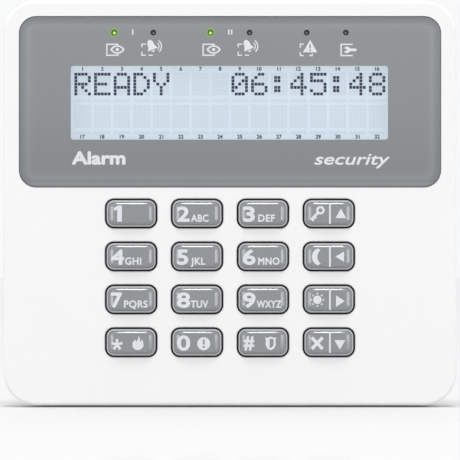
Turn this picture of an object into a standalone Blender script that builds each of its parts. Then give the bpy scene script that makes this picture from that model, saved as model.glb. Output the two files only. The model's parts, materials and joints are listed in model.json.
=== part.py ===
"""Wall-mounted alarm keypad: a front half with a display and sixteen keys, hooked on a wall base.

Frame: +X to the right, +Y into the wall, +Z up, in metres. The origin is the middle of the wall face,
so the whole keypad lies on the -Y side of it.
"""

import math

import bmesh
import bpy
from mathutils import Matrix, Vector

# Housing
WIDTH = 0.139
HEIGHT = 0.124
DEPTH = 0.022  # wall face to the key tops
KEY_RISE = 0.0014  # how far the keys stand out of the front face
FACE_Y = KEY_RISE - DEPTH
CORNER_R = 0.010
COVER_WALL = 0.0022
FRONT_EDGE_R = 0.0018
SPLIT_Y = -0.0070  # the front cover's rear rim
GAP = 0.0003  # air left between two pieces that touch
BASE_INSET = 0.0012  # the base is this much smaller than the front cover all round
BASE_PLATE = 0.0020
LIP_FRONT_Y = -0.0092
LIP_THICK = 0.0012
OUTSIDE = 0.010  # how far a cutter runs past the material

# Window panel
PANEL_WIDTH = 0.1296
PANEL_HEIGHT = 0.0526
PANEL_Z = 0.0310
PANEL_R = 0.0052
PANEL_FRONT_Y = FACE_Y - 0.0004
PANEL_SEAT_Y = FACE_Y + 0.0018
PANEL_BACKING_Y = PANEL_SEAT_Y + 0.0016  # inner face of the wall behind the panel
BACKING_LOWEST_Z = 0.0025

# Indicators, left to right
LED_NAMES = ("armed_1", "alarm_1", "armed_2", "alarm_2", "trouble", "service")
LED_X = (-0.0355, -0.0235, -0.0060, 0.0060, 0.0235, 0.0355)
LED_Z = 0.0522
LED_R = 0.0015

# Keys: the grid's centre lines, names in reading order
KEY_PITCH_X = 0.0202
KEY_PITCH_Z = 0.01316
KEY_TOP_ROW_Z = -0.00325
KEY_GRID = (
    ("key_1", "key_2", "key_3", "key_up"),
    ("key_4", "key_5", "key_6", "key_left"),
    ("key_7", "key_8", "key_9", "key_right"),
    ("key_star", "key_0", "key_hash", "key_down"),
)
KEY_HOLE = (0.01605, 0.00915)
KEY_HOLE_R = 0.00275
KEY_CLEARANCE = 0.00042
KEY_FLANGE = (0.0170, 0.0102)
KEY_BACK_Y = -0.0159
FLANGE_THICK = 0.0011

# Boards
BOARD_THICK = 0.0016
BOARD_FRONT_Y = -0.0112
BOARD_BACK_Y = BOARD_FRONT_Y + BOARD_THICK
BOARD_HALF = (0.0650, 0.0575)
PART_FOOT_Y = BOARD_BACK_Y + GAP  # where the parts on the board's wall side begin
BOSS_PLACES = [(x, z) for z in (0.052, -0.002, -0.050) for x in (-0.061, 0.061)]
BOSS_R = 0.00275

# Display module
LCD_Z = 0.0307
LCD_OPENING = (0.0990, 0.0244)
LCD_GLASS = (0.1050, 0.0290)
LCD_BEZEL = (0.1080, 0.0330)
LCD_BOARD = (0.1140, 0.0380)
LCD_FRONT_Y = PANEL_BACKING_Y + GAP
SHEET = 0.0004  # bezel sheet

# Base
CABLE_HOLE = (0.028, 0.018)
CABLE_HOLE_Z = 0.0145
WALL_SCREW_PLACES = [(x, z) for z in (0.046, -0.046) for x in (-0.050, 0.050)]
TEAR_OFF = (-0.042, -0.012)  # centre of the disc that stays on the wall if the keypad is pulled off
HOOK_X = 0.040
LATCH_X = 0.035
LATCH_SIZE = (0.0080, 0.0010)  # width and thickness of each latch tab
LATCH_FACE_Z = -0.0594  # each tab's outer face

# Tamper switch
TAMPER_X = TEAR_OFF[0]
TAMPER_POST_Z = TEAR_OFF[1] + 0.0065
TAMPER_POST_TIP_Y = -0.0046
TAMPER_PIVOT = (TAMPER_X, -0.0055, 0.0045)

PARTS = "alarm_keypad"
CUTTERS = "cutters"


def clear_scene():
    for obj in list(bpy.data.objects):
        bpy.data.objects.remove(obj)
    for name in (PARTS, CUTTERS):
        collection = bpy.data.collections.new(name)
        bpy.context.scene.collection.children.link(collection)


def plastic(name, colour, roughness=0.4, metallic=0.0):
    material = bpy.data.materials.new(name)
    material.use_nodes = True
    shader = material.node_tree.nodes["Principled BSDF"]
    shader.inputs["Base Color"].default_value = (*colour, 1)
    shader.inputs["Roughness"].default_value = roughness
    shader.inputs["Metallic"].default_value = metallic
    return material


def new_object(name, bm, material=None, group=PARTS):
    mesh = bpy.data.meshes.new(name)
    bm.to_mesh(mesh)
    bm.free()
    obj = bpy.data.objects.new(name, mesh)
    bpy.data.collections[group].objects.link(obj)
    if material:
        mesh.materials.append(material)
    if group == CUTTERS:
        obj.hide_render = True
        obj.display_type = "WIRE"
    return obj


def along_y(edge):
    span = edge.verts[0].co - edge.verts[1].co
    return abs(span.x) < 1e-7 and abs(span.z) < 1e-7


def edges_at(bm, y):
    return [e for e in bm.edges if all(abs(v.co.y - y) < 1e-7 for v in e.verts)]


def bevel(bm, edges, radius, steps):
    bmesh.ops.bevel(bm, geom=edges, offset=radius, segments=steps, profile=0.5, affect="EDGES")


def add_block(bm, low, high, corner=0.0, steps=4, front_edge=0.0, back_edge=0.0, edge_steps=2):
    """Adds a block to bm: corner rounds its edges along Y, front_edge and back_edge its rims."""
    low, high = Vector(low), Vector(high)
    one = bmesh.new()
    place = Matrix.Translation((low + high) / 2) @ Matrix.Diagonal((*(high - low), 1))
    bmesh.ops.create_cube(one, size=1, matrix=place)
    if corner:
        bevel(one, [e for e in one.edges if along_y(e)], corner, steps)
    if front_edge:
        bevel(one, edges_at(one, low.y), front_edge, edge_steps)
    if back_edge:
        bevel(one, edges_at(one, high.y), back_edge, edge_steps)
    made = bpy.data.meshes.new("block")
    one.to_mesh(made)
    one.free()
    bm.from_mesh(made)
    bpy.data.meshes.remove(made)


def add_plate(bm, centre, size, front, back, **rounding):
    """A block given by its centre and size as seen from the front, and its two Y faces."""
    half_x, half_z = size[0] / 2, size[1] / 2
    low = (centre[0] - half_x, front, centre[1] - half_z)
    high = (centre[0] + half_x, back, centre[1] + half_z)
    add_block(bm, low, high, **rounding)


def add_outline(bm, inset, front, back, **rounding):
    """A block with the housing's outline, smaller by inset all round."""
    size = (WIDTH - 2 * inset, HEIGHT - 2 * inset)
    add_plate(bm, (0, 0), size, front, back, corner=CORNER_R - inset, steps=6, **rounding)


def add_rod(bm, centre, radius, front, back, steps=16, back_radius=None):
    """A rod or cone along Y."""
    turn = Matrix.Rotation(math.pi / 2, 4, "X")  # the cone's first end goes to the wall side
    place = Matrix.Translation((centre[0], (front + back) / 2, centre[1])) @ turn
    bmesh.ops.create_cone(
        bm,
        cap_ends=True,
        segments=steps,
        radius1=radius if back_radius is None else back_radius,
        radius2=radius,
        depth=back - front,
        matrix=place,
    )


def plate(name, centre, size, front, back, material=None, group=PARTS, **rounding):
    bm = bmesh.new()
    add_plate(bm, centre, size, front, back, **rounding)
    return new_object(name, bm, material, group)


def turned(name, profile, place, material, steps=20, towards_wall=False):
    """A turned piece: profile is (radius, height) down its outer side, height rising towards the viewer."""
    bm = bmesh.new()
    points = [bm.verts.new((radius, 0, height)) for radius, height in profile]
    for first, second in zip(points, points[1:]):
        bm.edges.new((first, second))
    obj = new_object(name, bm, material)
    screw = obj.modifiers.new("turn", "SCREW")
    screw.steps = screw.render_steps = steps
    screw.use_merge_vertices = True
    screw.merge_threshold = 0.00001
    obj.location = place
    obj.rotation_euler.x = -math.pi / 2 if towards_wall else math.pi / 2
    return obj


def boolean(target, tool, operation):
    modifier = target.modifiers.new(tool.name, "BOOLEAN")
    modifier.operation = operation
    modifier.solver = "EXACT"
    modifier.object = tool


def cut(target, name, shapes):
    """Cuts target with the shapes that shapes(bm) adds."""
    bm = bmesh.new()
    shapes(bm)
    boolean(target, new_object(name, bm, group=CUTTERS), "DIFFERENCE")


def add_to(target, name, shapes):
    """Joins to target the shapes that shapes(bm) adds."""
    bm = bmesh.new()
    shapes(bm)
    boolean(target, new_object(name, bm, group=CUTTERS), "UNION")


def key_places():
    for row, names in enumerate(KEY_GRID):
        for column, name in enumerate(names):
            yield name, (KEY_PITCH_X * (column - 1.5), KEY_TOP_ROW_Z - KEY_PITCH_Z * row)


def make_front_cover(material):
    """One moulding: face, side walls, panel recess, key holes, screw bosses and two latch windows."""
    bm = bmesh.new()
    add_outline(bm, 0, FACE_Y, SPLIT_Y, front_edge=FRONT_EDGE_R, edge_steps=3)
    cover = new_object("front_cover", bm, material)
    inner_y = FACE_Y + COVER_WALL

    cut(cover, "cover_cavity", lambda b: add_outline(b, COVER_WALL, PANEL_BACKING_Y, OUTSIDE))

    def key_field(b):
        low = (COVER_WALL - WIDTH / 2, inner_y, COVER_WALL - HEIGHT / 2)
        high = (WIDTH / 2 - COVER_WALL, OUTSIDE, BACKING_LOWEST_Z)
        add_block(b, low, high, corner=0.004, steps=3)

    cut(cover, "cover_key_field", key_field)

    recess = (PANEL_WIDTH + 2 * GAP, PANEL_HEIGHT + 2 * GAP)
    cut(
        cover,
        "panel_recess",
        lambda b: add_plate(
            b, (0, PANEL_Z), recess, FACE_Y - OUTSIDE, PANEL_SEAT_Y, corner=PANEL_R + GAP, steps=5
        ),
    )

    def openings(b):
        add_plate(b, (0, LCD_Z), LCD_OPENING, FACE_Y, PANEL_BACKING_Y + OUTSIDE, corner=0.001, steps=2)
        for x in LED_X:
            add_rod(b, (x, LED_Z), LED_R + GAP, FACE_Y, PANEL_BACKING_Y + OUTSIDE, steps=12)
        for _, place in key_places():
            add_plate(b, place, KEY_HOLE, FACE_Y - OUTSIDE, inner_y + GAP, corner=KEY_HOLE_R, steps=4)

    cut(cover, "cover_openings", openings)

    boss_root_y = (PANEL_SEAT_Y + inner_y) / 2  # inside the wall, both behind the panel and below it

    def bosses(b):
        for place in BOSS_PLACES:
            add_rod(b, place, BOSS_R, boss_root_y, BOARD_FRONT_Y - GAP, steps=14)

    add_to(cover, "cover_bosses", bosses)

    def boss_holes(b):
        for place in BOSS_PLACES:
            add_rod(b, place, 0.0012, -0.0162, 0, steps=10)

    cut(cover, "cover_boss_holes", boss_holes)

    def latch_windows(b):
        for x in (-LATCH_X, LATCH_X):
            low = (x - 0.0055, -0.0112, -HEIGHT / 2 - OUTSIDE)
            high = (x + 0.0055, -0.0090, COVER_WALL - HEIGHT / 2 + GAP)
            add_block(b, low, high)

    cut(cover, "cover_latch_windows", latch_windows)


def make_back_base(material):
    """One moulding: wall plate, low rim and lip, hooks at the top, latches at the bottom."""
    bm = bmesh.new()
    add_outline(bm, BASE_INSET, SPLIT_Y + GAP, 0, back_edge=0.0006, edge_steps=1)
    base = new_object("back_base", bm, material)
    lip_inset = COVER_WALL + GAP
    add_to(base, "base_lip", lambda b: add_outline(b, lip_inset, LIP_FRONT_Y, -0.005))
    cavity_inset = lip_inset + LIP_THICK
    cut(base, "base_cavity", lambda b: add_outline(b, cavity_inset, -OUTSIDE * 2, -BASE_PLATE))

    lip_low, lip_high = HEIGHT / 2 - cavity_inset + 0.0001, HEIGHT / 2 - lip_inset - 0.0001

    def tongues(b):
        for x in (-HOOK_X, HOOK_X):
            add_block(b, (x - 0.006, -0.0102, lip_low), (x + 0.006, -0.008, lip_high))

    add_to(base, "base_tongues", tongues)

    def latch_pockets(b):
        half = LATCH_SIZE[0] / 2 + GAP
        top = LATCH_FACE_Z + LATCH_SIZE[1] + GAP
        for x in (-LATCH_X, LATCH_X):
            add_block(b, (x - half, -OUTSIDE * 2, -0.0601), (x + half, -0.0040, top))

    cut(base, "base_latch_pockets", latch_pockets)

    def ribs(b):
        for x in (-0.028, 0.028):
            add_block(b, (x - 0.0006, -0.0034, -0.052), (x + 0.0006, -0.001, 0.052))
        add_rod(b, (TAMPER_X, TAMPER_POST_Z), 0.0018, TAMPER_POST_TIP_Y, -0.001, steps=12)

    add_to(base, "base_ribs", ribs)

    def holes(b):
        centre = (0, CABLE_HOLE_Z)
        add_plate(b, centre, CABLE_HOLE, -0.003, OUTSIDE, corner=0.003, steps=3)
        for x, z in WALL_SCREW_PLACES:
            slot = (0.0076, 0.0040) if z > 0 else (0.0040, 0.0076)
            add_plate(b, (x, z), slot, -0.003, OUTSIDE, corner=0.0017, steps=3)
        add_rod(b, TEAR_OFF, 0.0020, -0.003, OUTSIDE, steps=12)

    cut(base, "base_holes", holes)
    cut(base, "base_tear_off_slots", add_tear_off_slots)


def make_latches(material):
    """Two springy tabs of the base: each one's nib snaps into a window in the cover's bottom wall."""
    half, top = LATCH_SIZE[0] / 2, LATCH_FACE_Z + LATCH_SIZE[1]
    for n, x in enumerate((-LATCH_X, LATCH_X), 1):
        bm = bmesh.new()
        add_block(bm, (x - half, -0.0116, LATCH_FACE_Z), (x + half, -0.0043, top))
        latch = new_object(f"latch_{n}", bm, material)

        def nib(b, x=x):
            low = (x - half + 0.0003, -0.0109, LATCH_FACE_Z - 0.0011)
            add_block(b, low, (x + half - 0.0003, -0.0095, LATCH_FACE_Z + 0.0004))

        add_to(latch, f"latch_{n}_nib", nib)


def add_tear_off_slots(bm):
    """Three arc slots round the tear-off disc, with thin bridges between them."""
    inner, outer, bridge = 0.0090, 0.0100, math.radians(9)
    steps = 8
    middle = Vector((TEAR_OFF[0], 0, TEAR_OFF[1]))
    for n in range(3):
        start = n * math.tau / 3 + bridge
        sweep = math.tau / 3 - 2 * bridge
        angles = [start + sweep * k / steps for k in range(steps + 1)]
        ring = [(inner, a) for a in angles] + [(outer, a) for a in reversed(angles)]
        corners = [
            bm.verts.new(middle + Vector((r * math.cos(a), -0.003, r * math.sin(a)))) for r, a in ring
        ]
        face = bm.faces.new(corners)
        grown = bmesh.ops.extrude_face_region(bm, geom=[face])["geom"]
        moved = [v for v in grown if isinstance(v, bmesh.types.BMVert)]
        bmesh.ops.translate(bm, verts=moved, vec=(0, OUTSIDE + 0.003, 0))
    bmesh.ops.recalc_face_normals(bm, faces=bm.faces)


def make_window_panel(material):
    size = (PANEL_WIDTH, PANEL_HEIGHT)
    place = (0, PANEL_Z)
    back = PANEL_SEAT_Y - GAP
    rounding = {"corner": PANEL_R, "steps": 5, "front_edge": 0.0008}
    plate("window_panel", place, size, PANEL_FRONT_Y, back, material, **rounding)


def make_display(materials):
    """The display module behind the window: bezel, glass, backlight and its own board."""
    centre = (0, LCD_Z)
    glass_front = LCD_FRONT_Y + SHEET + GAP
    glass_back = glass_front + 0.0014
    light_back = glass_back + GAP + 0.0015
    board_front = light_back + GAP
    plate("lcd_glass", centre, LCD_GLASS, glass_front, glass_back, materials["glass"])
    plate("lcd_backlight", centre, LCD_GLASS, glass_back + GAP, light_back, materials["white"])

    rounding = {"corner": 0.001, "steps": 2}
    bezel = plate("lcd_bezel", centre, LCD_BEZEL, LCD_FRONT_Y, light_back, materials["steel"], **rounding)
    inside = [side - 2 * SHEET for side in LCD_BEZEL]
    cut(
        bezel,
        "bezel_inside",
        lambda b: add_plate(b, centre, inside, LCD_FRONT_Y + SHEET, OUTSIDE),
    )
    cut(bezel, "bezel_window", lambda b: add_plate(b, centre, LCD_OPENING, -OUTSIDE * 3, OUTSIDE))

    board = plate("lcd_board", centre, LCD_BOARD, board_front, BOARD_FRONT_Y - GAP, materials["green"])

    def corner_holes(b):
        for x in (-0.0548, 0.0548):
            for z in (-0.0165, 0.0165):
                add_rod(b, (x, LCD_Z + z), 0.0012, -OUTSIDE * 3, OUTSIDE, steps=10)

    cut(board, "lcd_board_holes", corner_holes)


def make_main_board(material):
    size = (2 * BOARD_HALF[0], 2 * BOARD_HALF[1])
    board = plate("main_board", (0, 0), size, BOARD_FRONT_Y, BOARD_BACK_Y, material, corner=0.005, steps=2)

    def screw_holes(b):
        for place in BOSS_PLACES:
            add_rod(b, place, 0.0014, -OUTSIDE * 3, OUTSIDE, steps=12)

    cut(board, "board_screw_holes", screw_holes)


def make_board_screws(material):
    """Self-tapping pan-head screws that hold the board to the cover's bosses."""
    head_r, head_h, shank_r, shank = 0.0023, 0.0016, 0.0010, 0.0062
    profile = [
        (0, head_h),
        (head_r * 0.6, head_h),
        (head_r, head_h * 0.6),
        (head_r, 0),
        (shank_r, 0),
        (shank_r, -shank + 0.001),
        (0, -shank),
    ]
    for n, (x, z) in enumerate(BOSS_PLACES, 1):
        place = (x, PART_FOOT_Y, z)
        screw = turned(f"board_screw_{n}", profile, place, material, steps=12, towards_wall=True)
        for way, half in (("across", (0.0013, 0.0003)), ("down", (0.0003, 0.0013))):
            low = (x - half[0], place[1] + 0.0008, z - half[1])
            high = (x + half[0], place[1] + OUTSIDE, z + half[1])
            name = f"board_screw_{n}_slot_{way}"
            cut(screw, name, lambda b, low=low, high=high: add_block(b, low, high))


def make_leds(material):
    """Six 3 mm indicators that stand on the board and reach into the holes behind the panel."""
    foot_y = BOARD_FRONT_Y - GAP
    tip_y = PANEL_BACKING_Y - 0.0009
    height = foot_y - tip_y
    dome = [(LED_R * math.sin(a), height - LED_R + LED_R * math.cos(a)) for a in
            (math.radians(d) for d in (0, 30, 60, 90))]
    profile = dome + [(LED_R, 0.0014), (0.0019, 0.0014), (0.0019, 0), (0, 0)]
    for name, x in zip(LED_NAMES, LED_X):
        turned(f"led_{name}", profile, (x, foot_y, LED_Z), material, steps=12)


def make_keypad_mat(material):
    """One silicone sheet with a collapsing dome under each key."""
    sheet_front, back = -0.0127, BOARD_FRONT_Y - GAP
    low, high = (-0.041, sheet_front, -0.050), (0.041, back, 0.0035)
    bm = bmesh.new()
    add_block(bm, low, high, corner=0.003, steps=3)
    mat = new_object("keypad_mat", bm, material)

    def domes(b):
        for _, place in key_places():
            add_rod(b, place, 0.0024, KEY_BACK_Y + GAP, sheet_front + 0.0006, steps=12, back_radius=0.0036)

    add_to(mat, "mat_domes", domes)


def make_keys(material):
    """Sixteen caps of one shape: a crowned top over a flange that stops it behind the cover's wall."""
    cap_size = (KEY_HOLE[0] - 2 * KEY_CLEARANCE, KEY_HOLE[1] - 2 * KEY_CLEARANCE)
    cap_r = KEY_HOLE_R - KEY_CLEARANCE
    flange_front = FACE_Y + COVER_WALL + GAP
    for name, (x, z) in key_places():
        bm = bmesh.new()
        add_plate(bm, (0, 0), cap_size, -DEPTH, KEY_BACK_Y, corner=cap_r, steps=4, front_edge=0.0008)
        key = new_object(name, bm, material)
        key.location = (x, 0, z)
        flange = plate(
            f"{name}_flange",
            (0, 0),
            KEY_FLANGE,
            flange_front,
            flange_front + FLANGE_THICK,
            group=CUTTERS,
            corner=KEY_HOLE_R,
            steps=3,
        )
        flange.parent = key
        boolean(key, flange, "UNION")


def make_terminal_block(black, steel):
    """Four-way screw terminal for power, ground, data and clock wires, with its clamping screws."""
    pitch, ways, z = 0.005, 4, -0.0145
    width, height, front, back = pitch * ways + 0.001, 0.0080, PART_FOOT_Y, -0.0026
    block = plate("terminal_block", (0, z), (width, height), front, back, black)
    places = [pitch * (n - (ways - 1) / 2) for n in range(ways)]

    def wells(b):
        for x in places:
            add_rod(b, (x, z - 0.0005), 0.0019, back - 0.0026, OUTSIDE, steps=12)
            mouth = (x - 0.0016, front + 0.0014, z + 0.0010)
            add_block(b, mouth, (x + 0.0016, front + 0.0044, z + OUTSIDE))

    cut(block, "terminal_wells", wells)
    profile = [(0, 0.0013), (0.0014, 0.0013), (0.0016, 0.0011), (0.0016, 0), (0, 0)]
    for n, x in enumerate(places, 1):
        place = (x, back - 0.0026 + GAP, z - 0.0005)
        screw = turned(f"terminal_screw_{n}", profile, place, steel, steps=12, towards_wall=True)

        def slot(b, x=x, y=place[1]):
            add_block(b, (x - 0.002, y + 0.0008, z - 0.0008), (x + 0.002, y + 0.002, z - 0.0002))

        cut(screw, f"terminal_screw_{n}_slot", slot)


def make_tamper_switch(black, steel):
    """A lever switch on the board. A post on the tear-off disc stands right behind its lever."""
    body_top = -0.0066
    centre, size = (TAMPER_X, -0.0005), (0.0060, 0.0120)
    body = plate("tamper_switch", centre, size, PART_FOOT_Y, body_top, black)
    pivot = Vector(TAMPER_PIVOT)

    def lugs_and_plunger(b):
        for side in (-1, 1):
            x = TAMPER_X + side * 0.0026
            low = (x - 0.0003, body_top - 0.001, pivot.z - 0.0009)
            add_block(b, low, (x + 0.0003, pivot.y + 0.0006, pivot.z + 0.0009))
        add_rod(b, (TAMPER_X, -0.001), 0.0007, body_top - 0.001, -0.0060, steps=10)

    add_to(body, "tamper_lugs", lugs_and_plunger)

    half, length, thick = 0.0016, 0.0110, 0.0004
    bm = bmesh.new()
    add_block(bm, (-half, -thick / 2, -length), (half, thick / 2, 0.0004))
    lever = new_object("tamper_lever", bm, steel)
    lever.location = pivot
    lever.rotation_euler.x = math.radians(2.2)  # the free end leans towards the wall

    bm = bmesh.new()
    for z, radius, reach in ((-length, 0.0004, half), (0, 0.00035, 0.0021)):
        place = Matrix.Translation((0, 0, z)) @ Matrix.Rotation(math.pi / 2, 4, "Y")
        sizes = {"radius1": radius, "radius2": radius, "depth": 2 * reach}
        bmesh.ops.create_cone(bm, cap_ends=True, segments=10, matrix=place, **sizes)
    rolls = new_object("tamper_lever_curl_and_pin", bm, group=CUTTERS)
    rolls.parent = lever
    boolean(lever, rolls, "UNION")


def make_board_parts(materials):
    """The larger components on the board's wall side."""
    black, steel, white = materials["black"], materials["steel"], materials["white"]
    foot = PART_FOOT_Y
    buzzer_r, buzzer_h = 0.0060, 0.0050
    buzzer = [
        (0, buzzer_h - 0.0006),
        (0.0011, buzzer_h - 0.0006),
        (0.0011, buzzer_h),
        (buzzer_r - 0.0005, buzzer_h),
        (buzzer_r, buzzer_h - 0.0005),
        (buzzer_r, 0),
        (0, 0),
    ]
    turned("buzzer", buzzer, (0.044, foot, -0.030), black, steps=24, towards_wall=True)
    can_r, can_h = 0.00315, 0.0054
    can = [
        (0, can_h),
        (can_r - 0.0004, can_h),
        (can_r, can_h - 0.0004),
        (can_r, 0.0013),
        (can_r - 0.0003, 0.0010),
        (can_r, 0.0007),
        (can_r, 0),
        (0, 0),
    ]
    turned("capacitor", can, (0.040, foot, -0.008), steel, steps=16, towards_wall=True)
    for name, centre, size, height, material, rounding in (
        ("microcontroller", (-0.006, -0.036), (0.012, 0.012), 0.0014, black, {"back_edge": 0.0002}),
        ("voltage_regulator", (0.022, -0.026), (0.0066, 0.0061), 0.0023, black, {"back_edge": 0.0003}),
        ("crystal", (-0.024, -0.040), (0.0110, 0.0045), 0.0035, steel, {"corner": 0.0021, "back_edge": 0.0004}),
    ):
        plate(name, centre, size, foot, foot + height, material, edge_steps=1, **rounding)
    make_pin_header("lcd_connector", (-0.030, 0.0475), 16, 0.0016, black)
    make_pin_header("service_header", (0.012, -0.0495), 5, 0.0036, white)


def make_pin_header(name, place, pins, reach, material):
    """A strip of square pins in a moulded bar, at the standard pitch."""
    pitch, bar = 0.00254, 0.0025
    back = PART_FOOT_Y + bar
    strip = plate(name, place, (pitch * pins, bar), PART_FOOT_Y, back, material)

    def posts(b):
        for n in range(pins):
            x = place[0] + pitch * (n - (pins - 1) / 2)
            add_plate(b, (x, place[1]), (0.00064, 0.00064), back - 0.001, back + reach)

    add_to(strip, f"{name}_pins", posts)


def main():
    clear_scene()
    white = plastic("housing_white", (0.83, 0.82, 0.82), 0.35)
    grey = plastic("panel_grey", (0.28, 0.30, 0.31), 0.08)
    key_grey = plastic("key_grey", (0.27, 0.28, 0.29), 0.12)
    silicone = plastic("silicone", (0.55, 0.56, 0.57), 0.6)
    materials = {
        "glass": plastic("display_glass", (0.62, 0.72, 0.80), 0.1),
        "white": plastic("nylon_white", (0.75, 0.75, 0.73), 0.5),
        "steel": plastic("plated_steel", (0.60, 0.60, 0.58), 0.3, 1.0),
        "green": plastic("solder_resist", (0.02, 0.16, 0.07), 0.35),
        "black": plastic("component_black", (0.03, 0.03, 0.03), 0.45),
        "clear": plastic("led_lens", (0.70, 0.75, 0.68), 0.15),
    }
    make_back_base(white)
    make_latches(white)
    make_front_cover(white)
    make_window_panel(grey)
    make_display(materials)
    make_main_board(materials["green"])
    make_board_screws(materials["steel"])
    make_leds(materials["clear"])
    make_keypad_mat(silicone)
    make_keys(key_grey)
    make_terminal_block(materials["black"], materials["steel"])
    make_tamper_switch(materials["black"], materials["steel"])
    make_board_parts(materials)


main()
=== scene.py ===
import json
import math

import bmesh
import bpy
from mathutils import Matrix, Vector


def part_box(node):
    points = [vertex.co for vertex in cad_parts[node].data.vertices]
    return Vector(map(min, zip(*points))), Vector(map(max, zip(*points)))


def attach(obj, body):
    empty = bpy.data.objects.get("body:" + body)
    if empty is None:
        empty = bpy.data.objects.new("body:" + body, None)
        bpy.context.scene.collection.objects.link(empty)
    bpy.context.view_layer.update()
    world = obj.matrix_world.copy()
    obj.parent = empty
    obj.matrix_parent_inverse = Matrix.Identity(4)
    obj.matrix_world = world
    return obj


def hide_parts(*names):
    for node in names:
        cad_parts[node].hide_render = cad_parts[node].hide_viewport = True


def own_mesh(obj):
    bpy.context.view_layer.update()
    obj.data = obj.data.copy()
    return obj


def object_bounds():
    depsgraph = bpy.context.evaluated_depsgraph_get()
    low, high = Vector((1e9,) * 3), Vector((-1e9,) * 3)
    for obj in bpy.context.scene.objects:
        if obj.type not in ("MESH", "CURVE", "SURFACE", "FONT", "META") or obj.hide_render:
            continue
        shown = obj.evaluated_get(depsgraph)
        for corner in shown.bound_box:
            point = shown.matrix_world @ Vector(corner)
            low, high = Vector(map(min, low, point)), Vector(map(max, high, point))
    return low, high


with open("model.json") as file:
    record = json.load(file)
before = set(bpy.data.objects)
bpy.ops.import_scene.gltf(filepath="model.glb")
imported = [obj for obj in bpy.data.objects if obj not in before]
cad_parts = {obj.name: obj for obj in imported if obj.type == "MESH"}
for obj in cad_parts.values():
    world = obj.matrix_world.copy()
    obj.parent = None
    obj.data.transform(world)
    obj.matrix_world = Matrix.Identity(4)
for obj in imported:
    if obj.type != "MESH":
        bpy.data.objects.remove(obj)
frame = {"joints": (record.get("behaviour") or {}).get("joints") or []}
cad_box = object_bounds()

# Wall base: the white ABS half that is screwed to the wall. A flat plate with a low rim, and inside the rim
# a thin lip that the front half closes over. It is moulded in one, so its walls are even and its edges soft.


def outline(half_x, half_z, corner, steps):
    """Points round a rounded rectangle, as (x, z)."""
    corner = max(corner, 0.00003)
    points = []
    for quarter, (side_x, side_z) in enumerate(((1, 1), (-1, 1), (-1, -1), (1, -1))):
        for step in range(steps + 1):
            angle = math.pi / 2 * (quarter + step / steps)
            x = side_x * (half_x - corner) + corner * math.cos(angle)
            z = side_z * (half_z - corner) + corner * math.sin(angle)
            points.append((x, z))
    return points


def add_skin(bm, rings, closed_ends=True):
    """Faces from each ring of points to the next, and over the two ends."""
    rings = [[bm.verts.new(point) for point in ring] for ring in rings]
    faces = [bm.faces.new(rings[0]), bm.faces.new(rings[-1])] if closed_ends else []
    for near, far in zip(rings, rings[1:] if closed_ends else rings[1:] + rings[:1]):
        for k in range(len(near)):
            faces.append(bm.faces.new((near[k], near[k - 1], far[k - 1], far[k])))
    bmesh.ops.recalc_face_normals(bm, faces=faces)


def add_moulding(bm, centre, size, corner, profile, steps=8):
    """Adds a closed solid made of rounded rectangles one behind the other: profile lists (y, inset)."""
    rings = []
    for y, inset in profile:
        ring = outline(size[0] / 2 - inset, size[1] / 2 - inset, corner - inset, steps)
        rings.append([(centre[0] + x, y, centre[1] + z) for x, z in ring])
    add_skin(bm, rings)


def add_rod(bm, centre, radius, front, back, sides=32):
    """Adds a round rod along Y."""
    lie_along_y = Matrix.Rotation(math.pi / 2, 4, "X")
    place = Matrix.Translation((centre[0], (front + back) / 2, centre[1])) @ lie_along_y
    bmesh.ops.create_cone(
        bm, cap_ends=True, segments=sides, radius1=radius, radius2=radius, depth=back - front, matrix=place
    )


def add_box(bm, low, high):
    low, high = Vector(low), Vector(high)
    place = Matrix.Translation((low + high) / 2) @ Matrix.Diagonal((*(high - low), 1))
    bmesh.ops.create_cube(bm, size=1, matrix=place)


def new_piece(name, bm, *materials):
    mesh = bpy.data.meshes.new(name)
    bm.to_mesh(mesh)
    bm.free()
    piece = bpy.data.objects.new(name, mesh)
    bpy.context.scene.collection.objects.link(piece)
    for material in materials:
        mesh.materials.append(material)
    return piece


def shaped(name, shapes, *materials):
    """A piece from what shapes(bm) adds."""
    bm = bmesh.new()
    shapes(bm)
    return new_piece(name, bm, *materials)


def baked_mesh(piece):
    """The piece's mesh with its modifiers worked in."""
    graph = bpy.context.evaluated_depsgraph_get()
    return bpy.data.meshes.new_from_object(piece.evaluated_get(graph))


def carve(piece, shapes, operation="DIFFERENCE"):
    """Cuts from the piece, or joins to it, what shapes(bm) adds."""
    tool = shaped("tool", shapes)
    step = piece.modifiers.new("carve", "BOOLEAN")
    step.operation = operation
    step.solver = "EXACT"
    step.object = tool
    mesh = baked_mesh(piece)
    piece.modifiers.clear()
    piece.data = mesh
    bpy.data.objects.remove(tool)


def moulded(name, centre, size, corner, profile, steps, *materials):
    """A piece that is one moulding."""
    return shaped(name, lambda bm: add_moulding(bm, centre, size, corner, profile, steps), *materials)


def carve_moulding(piece, centre, size, corner, profile, steps, operation="DIFFERENCE"):
    carve(piece, lambda bm: add_moulding(bm, centre, size, corner, profile, steps), operation)


def soften(piece, width=0.0, angle=35, segments=3):
    """Rounds the piece's sharp edges by width and shades the rest smooth."""
    if width:
        rounding = piece.modifiers.new("edge rounding", "BEVEL")
        rounding.width = width
        rounding.segments = segments
        rounding.limit_method = "ANGLE"
        rounding.angle_limit = math.radians(angle)
        rounding.use_clamp_overlap = True
        piece.data = baked_mesh(piece)
        piece.modifiers.clear()
    piece.data.shade_smooth()
    piece.data.set_sharp_from_angle(angle=math.radians(angle))
    piece.modifiers.new("even shading", "WEIGHTED_NORMAL").keep_sharp = True


def add_node(material, kind, **inputs):
    """A shader node whose inputs are set to values or fed by other nodes."""
    node = material.node_tree.nodes.new("ShaderNode" + kind)
    return feed(material, node, **inputs)


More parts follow.
